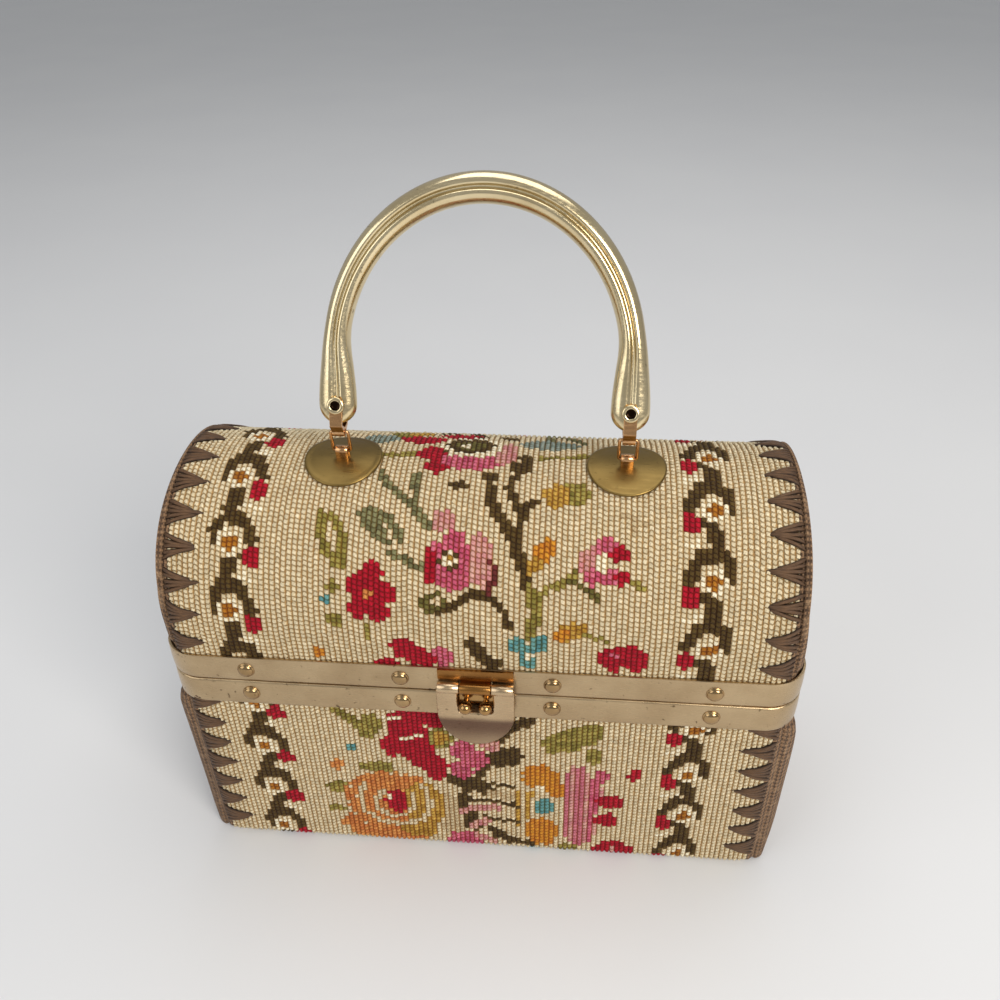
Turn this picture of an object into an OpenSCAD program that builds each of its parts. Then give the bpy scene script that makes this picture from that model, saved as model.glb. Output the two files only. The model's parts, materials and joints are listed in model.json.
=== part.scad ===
// Tapestry box handbag: a barrel-topped lid and a box base meet in two riveted metal bands.
// Front is -Y and up is +Z. The origin is the middle of the resting face. Sizes are millimetres.

/* [Frame bands] */
// Width over the bands
frame_w = 241; // [200:1:280]
// Depth over the bands
frame_d = 104; // [90:1:130]
// Height of the line where lid and base part
split_z = 98; // [80:1:120]
// Height of one band
band_h = 12; // [10:0.5:16]
// Sheet thickness of the bands
band_t = 1; // [0.8:0.1:1.5]
// Plan radius of the band corners
corner_r = 14; // [12:1:30]
// Gap between the two bands when shut
seam_gap = 0.4; // [0.3:0.1:1]
// Depth of the inner leg of each band
band_leg = 7; // [4:0.5:9]

/* [Walls] */
// Thickness of the stitched cover
cover_t = 1.8; // [1.2:0.1:3]
// Thickness of the stiffening board
board_t = 2.4; // [1.5:0.1:4]
// Thickness of the lining
lining_t = 0.8; // [0.5:0.1:1.5]
// Clearance between nested layers
layer_gap = 0.05; // [0.02:0.01:0.1]
// Straight wall of the lid between its band and the barrel
lid_rise = 9; // [4:0.5:20]
// Narrowing of each lid end from the band up to the crest
lid_draft = 5.5; // [0:0.5:7]
// Radius of the lid ends at the crest
crest_r = 7; // [5.5:0.5:14]
// Radius of the front and back bottom edges
bottom_r = 4; // [3:0.5:12]
// Radius of the bottom edges of the ends
end_bottom_r = 8; // [5:0.5:18]
// Swell of the padded base ends
end_swell = 2.5; // [1:0.5:6]
// Height of the widest point of the base ends
swell_z = 36; // [20:1:50]

/* [Lacing] */
// Distance from the end of the frame in to the edge where cover and end meet
lace_in = 8.5; // [4.5:0.5:14.5]
// Length of one fan of strands
fan_len = 11; // [8:0.5:14]
// Width of one fan at its shoulder
fan_w = 7.4; // [5:0.1:10]
// Height of the strands above the cover
fan_t = 1; // [0.6:0.1:1.6]
// Share of the length where a fan reaches its full width
fan_shoulder = 0.72; // [0.5:0.01:0.9]
// Depth of the notches between strand ends
fan_notch = 1.4; // [0.5:0.1:2]
// Fans along each lid edge
lid_fans = 14; // [8:1:16]
// Fans along each upright base edge
base_fans = 7; // [4:1:8]
// Spacing of the base fans
base_fan_step = 12; // [8:0.5:14]
// Height of the lowest base fan
base_fan_z = 12.5; // [10:0.5:20]

/* [Frame rivets] */
// Head diameter
rivet_d = 6.4; // [4:0.1:8]
// Head height
rivet_h = 2; // [1:0.1:3]
// Shank diameter
rivet_shank_d = 2.6; // [2:0.1:3]
// Distance from the middle to the inner rivets
rivet_inner_x = 28.3; // [24:0.1:36]
// Distance from the middle to the outer rivets
rivet_outer_x = 87; // [80:0.5:95]
// Distance from the middle to the end rivets
rivet_end_y = 24; // [10:0.5:28]
// Distance from the parting line to the rivet rows
rivet_z = 6.2; // [5:0.1:7]

/* [Rear hinges] */
// Distance from the middle to each hinge
hinge_x = 57; // [46:0.5:68]
// Width of a hinge
hinge_w = 26; // [18:0.5:32]
// Width of the middle knuckle
hinge_knuckle_w = 10; // [6:0.5:12]
// Height of one hinge leaf
hinge_leaf_h = 9.5; // [7:0.5:11]
// Leaf thickness
hinge_leaf_t = 1; // [0.8:0.1:1.5]
// Knuckle diameter
hinge_knuckle_d = 4.4; // [4:0.1:6]
// Pin diameter
hinge_pin_d = 2; // [1.5:0.1:2.4]

/* [Clasp] */
// Width of the hasp
hasp_w = 29; // [24:0.5:36]
// Thickness of the hasp
hasp_t = 1.2; // [0.8:0.1:2]
// Distance from the clasp pin to the foot of the hasp
hasp_len = 27; // [22:0.5:32]
// Length of the thumb tab that bends outward
tab_len = 10; // [6:0.5:12]
// Angle of the thumb tab
tab_angle = 10; // [0:1:20]
// Width of the hasp window
window_w = 13.2; // [11:0.1:16]
// Distance from the clasp pin to the foot of the window
window_len = 11.5; // [9:0.5:14]
// Distance from the parting line up to the clasp pin
clasp_rise = 5; // [3:0.1:7]
// Width of the middle knuckle of the clasp
clasp_knuckle_w = 11.4; // [8:0.1:12]
// Knuckle diameter of the clasp
clasp_knuckle_d = 4.4; // [4:0.1:5]
// Diameter of the clasp pin
clasp_pin_d = 1.8; // [1.5:0.1:2.2]
// Thickness of the fixed clasp leaf
clasp_leaf_t = 1; // [0.8:0.1:1.5]
// Diameter of the catch balls
ball_d = 5; // [3:0.1:6]
// Distance between the catch balls
ball_pitch = 7.4; // [6:0.1:8]
// Distance from the clasp pin down to the catch balls
ball_drop = 8; // [7:0.1:9]
// Diameter of the ball necks
ball_neck_d = 2.2; // [1.6:0.1:2.8]
// Width of the catch plate
catch_w = 16; // [12:0.5:20]
// Height of the catch plate
catch_h = 5.4; // [4:0.1:6]
// Thickness of the catch plate
catch_t = 0.8; // [0.6:0.1:1.2]

/* [Handle] */
// Distance from the middle to each handle end
handle_x = 52.4; // [45:0.1:60]
// Backward lean of the handle at rest
handle_lean = 22; // [10:1:40]
// Height of the straight legs above the link bar
leg_v = 27.5; // [18:0.5:30]
// Rise of the arch above the legs
arch_rise = 57.5; // [50:0.5:80]
// Width of the handle at the top of the arch
arch_w = 10.8; // [8:0.1:12]
// Depth of the handle at the top of the arch
arch_d = 10.2; // [8:0.1:12]
// Width of the handle where the arch meets the legs
neck_w = 9.2; // [7:0.1:10]
// Width of the rounded ends
end_w = 13.8; // [11:0.1:15]
// Depth of the rounded ends
end_d = 7; // [6:0.1:9]
// Depth of the long groove as a share of half the depth
groove = 0.3; // [0.1:0.01:0.4]
// Height of the eyelets above the link bar
eyelet_v = 9.9; // [8.5:0.1:12]

/* [Handle fittings] */
// Forward turn of the plates round the barrel
plate_turn = 6; // [0:0.5:10]
// Diameter of the round plates
plate_d = 29; // [24:0.5:34]
// Thickness of the round plates
plate_t = 1.1; // [0.8:0.1:1.5]
// Wire diameter of the rings
ring_wire_d = 1.2; // [1:0.1:1.6]
// Height of the rings between wire centres
ring_h = 8.6; // [6:0.1:10]
// Width of the staples and of the links
strap_w = 4.6; // [3.6:0.1:6]
// Thickness of the staples and of the links
strap_t = 0.8; // [0.6:0.1:1.2]
// Clearance between ring wire and straps
wire_gap = 0.4; // [0.35:0.05:0.6]
// Height of the lower ring wire above the crest
ring_z = 4.3; // [4:0.1:6]
// Bore of the eyelets
eyelet_bore = 3.3; // [2.5:0.1:3.4]
// Outside diameter of the eyelet tube
eyelet_d = 4.1; // [3.8:0.1:4.6]
// Flange diameter of the eyelets
flange_d = 6.4; // [5.5:0.1:7]
// Flange thickness
flange_t = 0.6; // [0.4:0.1:1]

/* [Hidden] */
$fn = 96;

left = -1;
right = 1;
free_gap = 0.35;
fit_gap = 0.05;
big = 4 * frame_w;
in_cover = band_t + layer_gap;
in_board = in_cover + cover_t + layer_gap;
in_lining = in_board + board_t + layer_gap;
in_room = in_lining + lining_t;
corner_ease = 0.1;
in_leg = in_room + corner_ease + layer_gap;
base_rim = split_z - seam_gap / 2 - band_t;
lid_rim = split_z + seam_gap / 2 + band_t;
base_band_z = split_z - seam_gap / 2 - band_h;
lid_band_z = split_z + seam_gap / 2 + band_h;
barrel_z = lid_band_z + lid_rise;
barrel_r = frame_d / 2 - in_cover - corner_ease;
crest_z = barrel_z + barrel_r;
base_half_w = frame_w / 2 - in_cover;
swell_half = base_band_z - swell_z;
swell_room = end_swell + 1.2;
swell_corner_r = corner_r - in_cover + swell_room;
swell_steps = [0, end_bottom_r / 4, end_bottom_r, 22, swell_z, 50, 62, 74, base_band_z];
function swell_share(z) = (z - swell_z) / swell_half;
function foot_share(z) = max(0, 1 - z / end_bottom_r);
function swell_x(z) = base_half_w - 0.3 + end_swell * (1 - pow(swell_share(z), 4))
  - end_bottom_r * (1 - sqrt(1 - foot_share(z) * foot_share(z)));
wall_stack = in_lining - layer_gap;
dome_r = (rivet_d * rivet_d / 4 + rivet_h * rivet_h) / (2 * rivet_h);
hinge_y = frame_d / 2 + hinge_knuckle_d / 2 + 0.2;
knuckle_gap = 0.4;
leaf_clear = hinge_knuckle_d / 2 + 0.5;
clasp_z = split_z + clasp_rise;
clasp_y = -frame_d / 2 - clasp_knuckle_d / 2 - 0.4;
clasp_w = hasp_w - 0.8;
clasp_clear = clasp_knuckle_d / 2 + 0.5;
hasp_back = clasp_y - 0.4;
hasp_mid_z = clasp_z - hasp_len + hasp_w / 2;
tab_z = clasp_z - hasp_len + tab_len;
tab_w = hasp_w - 0.6;
ball_z = clasp_z - ball_drop;
ball_y = hasp_back - hasp_t - 0.6;
plate_r0 = barrel_r + layer_gap;
plate_top = barrel_z + plate_r0 + plate_t;
ring_lo = crest_z + ring_z;
ring_hi = ring_lo + ring_h;
ring_half = strap_w / 2 + 0.35 + ring_wire_d / 2;
bend_in = ring_wire_d / 2 + wire_gap;
bend_mid = bend_in + strap_t / 2;
bend_out = bend_in + strap_t;
leaf_in = end_d / 2 + layer_gap;
leaf_out = leaf_in + strap_t;
leaf_top = eyelet_v + strap_w;
end_foot = eyelet_v - end_w / 2;
lace_x = frame_w / 2 - lace_in;
fan_start = barrel_r - corner_r * 0.6;
fan_run = corner_r;
fan_step = (2 * lid_rise + PI * barrel_r) / lid_fans;

// Shared shapes

module rounded_rect(w, d, r) {
  square([w - 2 * r, d], center = true);
  square([w, d - 2 * r], center = true);
  for (i = [left, right])
    for (j = [left, right])
      translate([i * (w / 2 - r), j * (d / 2 - r)]) circle(r);
}

module plan(inset) {
  rounded_rect(frame_w - 2 * inset, frame_d - 2 * inset, corner_r - inset);
}

module plan_ring(outer, inner, z0, z1) {
  translate([0, 0, z0])
    linear_extrude(z1 - z0)
      difference() {
        plan(outer);
        plan(inner);
      }
}

// A width by height shape with two rounded lower corners
module round_foot(half, z0, z1, r) {
  translate([-half + r, z0]) square([2 * half - 2 * r, z1 - z0]);
  translate([-half, z0 + r]) square([2 * half, z1 - z0 - r]);
  for (i = [left, right])
    translate([i * (half - r), z0 + r]) circle(r);
}

// A width by height shape that narrows upward to two rounded corners
module round_head(half, z0, z1, r) {
  hull() {
    translate([-half, z0]) square([2 * half, band_h]);
    for (i = [left, right])
      translate([i * (half - lid_draft - r), z1 - r]) circle(r);
  }
}

module along_x(w) {
  rotate([90, 0, 90]) translate([0, 0, -w / 2]) linear_extrude(w) children();
}

module along_y(d) {
  rotate([90, 0, 0]) translate([0, 0, -d / 2]) linear_extrude(d) children();
}

// The closed lid form, drawn in by an inset from the frame
module lid_form(inset) {
  r = frame_d / 2 - inset - corner_ease;
  intersection() {
    along_x(big) union() {
      translate([0, barrel_z]) circle(r);
      translate([-r, lid_rim]) square([2 * r, barrel_z - lid_rim]);
    }
    translate([0, 0, lid_rim]) linear_extrude(big) plan(inset);
    along_y(big)
      round_head(frame_w / 2 - inset, lid_rim, barrel_z + r, crest_r + in_cover - inset);
  }
}

// The closed base form of the board and the lining
module base_form(inset) {
  z0 = inset - in_cover;
  intersection() {
    translate([0, 0, z0]) linear_extrude(base_rim - z0) plan(inset);
    along_x(big) round_foot(frame_d / 2 - inset - corner_ease, z0, big, max(bottom_r - z0, lining_t));
  }
}

// Plan of the base cover under its band, let out by a margin
module swell_plan(margin) {
  w = 2 * (base_half_w + swell_room + margin);
  d = 2 * (frame_d / 2 - in_cover + margin);
  rounded_rect(w, d, swell_corner_r + margin);
}

// The outside of the base cover with its swelling ends
module base_cover_form() {
  translate([0, 0, base_band_z]) linear_extrude(base_rim - base_band_z) plan(in_cover);
  intersection() {
    linear_extrude(base_band_z) swell_plan(0);
    along_x(big) round_foot(frame_d / 2 - in_cover - corner_ease, 0, big, bottom_r);
    along_y(big) polygon(concat(
      [for (z = swell_steps) [swell_x(z), z]],
      [for (i = [len(swell_steps) - 1 : -1 : 0]) [-swell_x(swell_steps[i]), swell_steps[i]]]
    ));
  }
}

// Keeps the middle of a cover, or one of its ends
module middle() {
  intersection() {
    children();
    cube([2 * lace_x, big, big], center = true);
  }
}

module one_end(side) {
  intersection() {
    children();
    translate([side * (lace_x + layer_gap + big / 2), 0, 0]) cube(big, center = true);
  }
}

// Rivet places on a band, outward along +Z of the child
module rivet_places(z) {
  for (i = [left, right]) {
    for (x = [rivet_inner_x, rivet_outer_x]) {
      translate([i * x, -frame_d / 2, z]) rotate([90, 0, 0]) children();
      translate([i * x, frame_d / 2, z]) rotate([-90, 0, 0]) children();
    }
    for (y = [-rivet_end_y, rivet_end_y])
      translate([i * frame_w / 2, y, z]) rotate([0, i * 90, 0]) children();
  }
}

module rivet() {
  intersection() {
    translate([0, 0, rivet_h - dome_r]) sphere(dome_r);
    cylinder(d = rivet_d, h = rivet_h);
  }
  translate([0, 0, -wall_stack]) cylinder(d = rivet_shank_d, h = wall_stack);
}

module rivet_bore() {
  translate([0, 0, -wall_stack - 1])
    cylinder(d = rivet_shank_d + 2 * fit_gap, h = wall_stack + 2);
}

module base_bores() {
  rivet_places(split_z - rivet_z) rivet_bore();
}

module lid_bores() {
  rivet_places(split_z + rivet_z) rivet_bore();
}

module base_skin() {
  difference() {
    base_cover_form();
    base_form(in_cover + cover_t);
    base_bores();
  }
}

module lid_skin() {
  difference() {
    lid_form(in_cover);
    lid_form(in_cover + cover_t);
    lid_bores();
  }
}

// One fan: a point towards the middle and four strand ends at the laced edge
module fan() {
  half = fan_w / 2;
  polygon([
    [0, 0], [fan_len * fan_shoulder, -half], [fan_len - fan_notch, -half],
    [fan_len, -half * 0.75], [fan_len - fan_notch, -half * 0.5], [fan_len, -half * 0.25],
    [fan_len - fan_notch, 0], [fan_len, half * 0.25], [fan_len - fan_notch, half * 0.5],
    [fan_len, half * 0.75], [fan_len - fan_notch, half], [fan_len * fan_shoulder, half]
  ]);
}

// A fan standing on the laced edge line, pointing to the middle, pushed outward through the cover
module fan_cutter(side) {
  translate([side * (lace_x - fan_len), 0, fan_start])
    scale([side, 1, 1]) linear_extrude(fan_run) fan();
}

// Base nodes

module base_board() color([0.62, 0.52, 0.38]) {
  difference() {
    base_form(in_board);
    base_form(in_board + board_t);
    base_bores();
  }
}

module base_tapestry() color([0.80, 0.74, 0.58]) middle() base_skin();

module base_end(side) color([0.42, 0.32, 0.25]) one_end(side) base_skin();

module base_lacing(side) color([0.36, 0.27, 0.21]) intersection() {
  linear_extrude(base_band_z - layer_gap) difference() {
    swell_plan(fan_t);
    swell_plan(0);
  }
  for (i = [0 : base_fans - 1])
    for (turn = [90, -90])
      translate([0, 0, base_fan_z + i * base_fan_step])
        rotate([turn, 0, 0]) fan_cutter(side);
}

module base_lining() color([0.70, 0.62, 0.48]) difference() {
  base_form(in_lining);
  base_form(in_room);
}

module base_band() color([0.76, 0.66, 0.46]) difference() {
  union() {
    plan_ring(0, band_t, base_band_z, base_rim + band_t);
    plan_ring(0, in_leg + band_t, base_rim, base_rim + band_t);
    plan_ring(in_leg, in_leg + band_t, base_rim - band_leg, base_rim + band_t);
  }
  base_bores();
}

module base_rivets() color([0.62, 0.50, 0.32]) rivet_places(split_z - rivet_z) rivet();

module clasp_catch() color([0.70, 0.56, 0.34]) {
  translate([-catch_w / 2, -frame_d / 2 - catch_t, ball_z - catch_h / 2])
    cube([catch_w, catch_t, catch_h]);
  for (i = [left, right])
    translate([i * ball_pitch / 2, 0, ball_z]) {
      translate([0, ball_y, 0]) sphere(d = ball_d);
      translate([0, -frame_d / 2 - catch_t / 2, 0])
        rotate([90, 0, 0])
          cylinder(d = ball_neck_d, h = -ball_y - frame_d / 2 - catch_t / 2);
    }
}

module hinge_tube(w, bore) {
  rotate([0, 90, 0]) difference() {
    cylinder(d = hinge_knuckle_d, h = w, center = true);
    cylinder(d = bore, h = w + 2, center = true);
  }
}

module hinge_base_leaf(side) color([0.72, 0.60, 0.40])
  translate([side * hinge_x, 0, split_z]) {
    translate([-hinge_w / 2, frame_d / 2, -hinge_leaf_h])
      cube([hinge_w, hinge_leaf_t, hinge_leaf_h - leaf_clear]);
    difference() {
      union() {
        translate([-hinge_knuckle_w / 2, frame_d / 2, -leaf_clear - 0.1])
          cube([hinge_knuckle_w, hinge_leaf_t, leaf_clear + 0.1]);
        translate([0, hinge_y, 0]) rotate([0, 90, 0])
          cylinder(d = hinge_knuckle_d, h = hinge_knuckle_w, center = true);
      }
      translate([0, hinge_y, 0]) rotate([0, 90, 0])
        cylinder(d = hinge_pin_d + 2 * fit_gap, h = hinge_w, center = true);
    }
  }

module hinge_lid_leaf(side) color([0.72, 0.60, 0.40]) {
  outer_w = (hinge_w - hinge_knuckle_w) / 2 - knuckle_gap;
  translate([side * hinge_x, 0, split_z]) {
    translate([-hinge_w / 2, frame_d / 2, leaf_clear])
      cube([hinge_w, hinge_leaf_t, hinge_leaf_h - leaf_clear]);
    for (i = [left, right])
      translate([i * (hinge_w - outer_w) / 2, 0, 0]) difference() {
        union() {
          translate([-outer_w / 2, frame_d / 2, 0])
            cube([outer_w, hinge_leaf_t, leaf_clear + 0.1]);
          translate([0, hinge_y, 0]) rotate([0, 90, 0])
            cylinder(d = hinge_knuckle_d, h = outer_w, center = true);
        }
        translate([0, hinge_y, 0]) rotate([0, 90, 0])
          cylinder(d = hinge_pin_d + 2 * free_gap, h = hinge_w, center = true);
      }
  }
}

module hinge_pin(side) color([0.60, 0.50, 0.34])
  translate([side * hinge_x, hinge_y, split_z]) rotate([0, 90, 0])
    cylinder(d = hinge_pin_d, h = hinge_w, center = true);

// Lid nodes

module lid_board() color([0.62, 0.52, 0.38]) difference() {
  lid_form(in_board);
  lid_form(in_board + board_t);
  lid_bores();
}

module lid_tapestry() color([0.80, 0.74, 0.58]) middle() lid_skin();

module lid_end(side) color([0.42, 0.32, 0.25]) one_end(side) lid_skin();

// Fans follow the lid outline: a straight wall, the barrel, a straight wall
module lid_lacing(side) color([0.36, 0.27, 0.21]) intersection() {
  difference() {
    lid_form(in_cover - fan_t);
    lid_form(in_cover);
    cube([big, big, 2 * lid_band_z], center = true);
  }
  for (i = [0 : lid_fans - 1]) {
    s = (i + 0.5) * fan_step - lid_rise;
    s_barrel = min(max(s, 0), PI * barrel_r);
    turn = 90 - s_barrel / barrel_r * 180 / PI;
    drop = abs(s - s_barrel);
    translate([0, 0, barrel_z - drop]) rotate([turn, 0, 0]) fan_cutter(side);
  }
}

module lid_lining() color([0.70, 0.62, 0.48]) difference() {
  lid_form(in_lining);
  lid_form(in_room);
}

module lid_band() color([0.76, 0.66, 0.46]) difference() {
  union() {
    plan_ring(0, band_t, lid_rim - band_t, lid_band_z);
    plan_ring(0, in_leg + band_t, lid_rim - band_t, lid_rim);
    plan_ring(in_leg, in_leg + band_t, lid_rim - band_t, lid_rim + band_leg);
  }
  lid_bores();
}

module lid_rivets() color([0.62, 0.50, 0.32]) rivet_places(split_z + rivet_z) rivet();

module clasp_leaf() color([0.60, 0.44, 0.26]) difference() {
  union() {
    translate([-clasp_w / 2, -frame_d / 2 - clasp_leaf_t, clasp_z + clasp_clear])
      cube([clasp_w, clasp_leaf_t, lid_band_z - clasp_z - clasp_clear]);
    translate([-clasp_knuckle_w / 2, -frame_d / 2 - clasp_leaf_t, clasp_z])
      cube([clasp_knuckle_w, clasp_leaf_t, clasp_clear + 0.1]);
    translate([0, clasp_y, clasp_z]) rotate([0, 90, 0])
      cylinder(d = clasp_knuckle_d, h = clasp_knuckle_w, center = true);
  }
  translate([0, clasp_y, clasp_z]) rotate([0, 90, 0])
    cylinder(d = clasp_pin_d + 2 * fit_gap, h = clasp_w, center = true);
}

module clasp_pin() color([0.60, 0.50, 0.34])
  translate([0, clasp_y, clasp_z]) rotate([0, 90, 0])
    cylinder(d = clasp_pin_d, h = clasp_w, center = true);

// Turned round the barrel, forward of the crest
module turned() {
  translate([0, 0, barrel_z]) rotate([plate_turn, 0, 0]) translate([0, 0, -barrel_z]) children();
}

// Round plate bent over the barrel
module plate(side) color([0.52, 0.44, 0.22]) turned() intersection() {
  along_x(big) translate([0, barrel_z]) difference() {
    circle(plate_r0 + plate_t);
    circle(plate_r0);
  }
  translate([side * handle_x, 0, barrel_z]) cylinder(d = plate_d, h = big);
}

// Strap arch brazed on the plate, open along X for the ring
module staple(side) color([0.74, 0.52, 0.30]) turned()
  translate([side * handle_x, 0, 0]) difference() {
    along_x(strap_w) translate([0, ring_lo]) difference() {
      union() {
        circle(bend_out);
        translate([-bend_out, barrel_r - ring_lo]) square([2 * bend_out, ring_lo - barrel_r]);
      }
      circle(bend_in);
      translate([-bend_in, barrel_r - ring_lo - 1]) square([2 * bend_in, ring_lo - barrel_r + 1]);
    }
    translate([0, 0, barrel_z]) rotate([0, 90, 0])
      cylinder(r = plate_r0 + plate_t, h = big, center = true);
    translate([0, 0, barrel_z - big / 2]) cube(big, center = true);
  }

// Hasp

module hasp_outline(width) {
  translate([-width / 2, hasp_mid_z]) square([width, clasp_z - hasp_mid_z]);
  translate([0, hasp_mid_z]) circle(d = width);
}

module hasp_sheet() {
  translate([0, hasp_back - hasp_t / 2, 0]) along_y(hasp_t) children();
}

module clasp_hasp() color([0.72, 0.56, 0.34]) {
  knuckle_w = (clasp_w - clasp_knuckle_w) / 2 - knuckle_gap;
  difference() {
    union() {
      hasp_sheet() difference() {
        hasp_outline(hasp_w);
        translate([-big / 2, tab_z - big]) square(big);
        translate([-window_w / 2, clasp_z - window_len]) square([window_w, big]);
      }
      translate([0, hasp_back, tab_z]) rotate([-tab_angle, 0, 0])
        translate([0, -hasp_back, -tab_z]) hasp_sheet() intersection() {
          hasp_outline(tab_w);
          translate([-big / 2, tab_z - big]) square(big);
        }
      for (i = [left, right])
        translate([i * (clasp_w - knuckle_w) / 2, clasp_y, clasp_z]) rotate([0, 90, 0])
          cylinder(d = clasp_knuckle_d, h = knuckle_w, center = true);
    }
    translate([0, clasp_y, clasp_z]) rotate([0, 90, 0])
      cylinder(d = clasp_pin_d + 2 * free_gap, h = 2 * hasp_w, center = true);
  }
}

// Rings between staples and links

module ring(side) color([0.74, 0.52, 0.30]) turned() translate([side * handle_x, 0, 0]) {
  for (z = [ring_lo, ring_hi])
    translate([0, 0, z]) rotate([0, 90, 0])
      cylinder(d = ring_wire_d, h = 2 * ring_half, center = true);
  for (i = [left, right]) {
    translate([i * ring_half, 0, ring_lo]) cylinder(d = ring_wire_d, h = ring_h);
    for (z = [ring_lo, ring_hi])
      translate([i * ring_half, 0, z]) sphere(d = ring_wire_d);
  }
}

// Handle nodes, drawn upright over the upper ring wires and leaned back

module leaned() {
  turned() translate([0, 0, ring_hi]) rotate([-handle_lean - plate_turn, 0, 0]) children();
}

// Half of the section: across the face and height from the middle plane, with two ridges
ridge = [
  [-1, 0], [-0.95, 0.4], [-0.82, 0.72], [-0.62, 0.95], [-0.42, 1], [-0.24, 0.92], [-0.09, 1 - groove / 2],
  [0, 1 - groove], [0.09, 1 - groove / 2], [0.24, 0.92], [0.42, 1], [0.62, 0.95], [0.82, 0.72], [0.95, 0.4]
];
section = concat(ridge, [for (p = ridge) [-p[0], -p[1]]]);
section_n = len(section);

// Stations: place across, height, direction of the section, width, depth
cap_turns = [76, 60, 42, 24, 10];
leg_parts = [0, 0.25, 0.5, 0.75];
arch_step = 4.5;
leg_run = leg_v - eyelet_v;
function leg_w(k) = end_w + (neck_w - end_w) * (3 * k * k - 2 * k * k * k);
function leg_d(k) = end_d + (arch_d - end_d) * 0.7 * k;
function arch_share(t) = sin(t) * sin(t);
cap = [for (t = cap_turns) [-handle_x, eyelet_v - end_w / 2 * sin(t), 180, end_w * cos(t), end_d]];
leg = [for (k = leg_parts) [-handle_x, eyelet_v + k * leg_run, 180, leg_w(k), leg_d(k)]];
arch = [for (t = [180 : -arch_step : 0]) [
  handle_x * cos(t), leg_v + arch_rise * sin(t),
  atan2(sin(t) / arch_rise, cos(t) / handle_x),
  neck_w + (arch_w - neck_w) * arch_share(t),
  leg_d(1) + (arch_d - leg_d(1)) * arch_share(t)
]];
half_leg = concat(cap, leg);
half_n = len(half_leg);
mirrored = [for (i = [half_n - 1 : -1 : 0])
  [-half_leg[i][0], half_leg[i][1], 0, half_leg[i][3], half_leg[i][4]]];
stations = concat(half_leg, arch, mirrored);
station_n = len(stations);

module handle_bar() {
  points = [for (s = stations) for (p = section) [
    s[0] + cos(s[2]) * p[0] * s[3] / 2,
    -p[1] * s[4] / 2,
    s[1] + sin(s[2]) * p[0] * s[3] / 2
  ]];
  sides = [for (i = [0 : station_n - 2]) for (j = [0 : section_n - 1])
    let (k = (j + 1) % section_n, a = i * section_n, b = a + section_n)
    each [[a + j, a + k, b + k], [a + j, b + k, b + j]]];
  first = [[for (j = [section_n - 1 : -1 : 0]) j]];
  last = [[for (j = [0 : section_n - 1]) (station_n - 1) * section_n + j]];
  polyhedron(points, concat(sides, first, last));
}

module handle() color([0.82, 0.72, 0.50]) leaned() difference() {
  handle_bar();
  for (i = [left, right])
    translate([i * handle_x, 0, eyelet_v]) rotate([90, 0, 0])
      cylinder(d = eyelet_d + 2 * fit_gap, h = big, center = true);
}

// Strap folded round the ring wire, its two leaves holding the handle end
module link(side) color([0.74, 0.52, 0.30]) leaned()
  translate([side * handle_x, 0, 0]) difference() {
    intersection() {
      along_x(strap_w + 2) union() {
        circle(bend_out);
        polygon([
          [leaf_in, leaf_top], [leaf_in, end_foot - 0.1], [0, bend_mid],
          [-leaf_in, end_foot - 0.1], [-leaf_in, leaf_top], [-leaf_out, leaf_top],
          [-leaf_out, end_foot - strap_t], [-bend_mid, -strap_t / 2],
          [bend_mid, -strap_t / 2], [leaf_out, end_foot - strap_t], [leaf_out, leaf_top]
        ]);
      }
      along_y(big) union() {
        translate([-strap_w / 2, -2 * bend_out]) square([strap_w, eyelet_v + 2 * bend_out]);
        translate([0, eyelet_v]) circle(d = strap_w + 1.2);
      }
    }
    rotate([0, 90, 0]) cylinder(r = bend_in, h = big, center = true);
    translate([0, 0, eyelet_v]) rotate([90, 0, 0])
      cylinder(d = eyelet_d + 2 * fit_gap, h = big, center = true);
  }

// Tubular rivet through the link leaves and the handle end
module eyelet(side) color([0.74, 0.52, 0.30]) leaned()
  translate([side * handle_x, 0, eyelet_v]) rotate([90, 0, 0]) difference() {
    union() {
      cylinder(d = eyelet_d, h = 2 * leaf_out, center = true);
      for (i = [left, right])
        translate([0, 0, i * (leaf_out + flange_t / 2)])
          cylinder(d = flange_d, h = flange_t, center = true);
    }
    cylinder(d = eyelet_bore, h = big, center = true);
  }

// Which nodes are drawn

base_board();
base_tapestry();
base_end(left);  // base_end_left
base_end(right);  // base_end_right
base_lacing(left);  // base_lacing_left
base_lacing(right);  // base_lacing_right
base_lining();
base_band();
base_rivets();
clasp_catch();
hinge_base_leaf(left);  // hinge_left_base_leaf
hinge_base_leaf(right);  // hinge_right_base_leaf
hinge_pin(left);  // hinge_left_pin
hinge_pin(right);  // hinge_right_pin
lid_board();
lid_tapestry();
lid_end(left);  // lid_end_left
lid_end(right);  // lid_end_right
lid_lacing(left);  // lid_lacing_left
lid_lacing(right);  // lid_lacing_right
lid_lining();
lid_band();
lid_rivets();
hinge_lid_leaf(left);  // hinge_left_lid_leaf
hinge_lid_leaf(right);  // hinge_right_lid_leaf
clasp_leaf();
clasp_pin();
plate(left);  // plate_left
plate(right);  // plate_right
staple(left);  // staple_left
staple(right);  // staple_right
clasp_hasp();
ring(left);  // ring_left
ring(right);  // ring_right
handle();
link(left);  // link_left
link(right);  // link_right
eyelet(left);  // eyelet_left
eyelet(right);  // eyelet_right
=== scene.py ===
import json

import bpy
import bmesh
import numpy as np
from mathutils import Matrix


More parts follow.
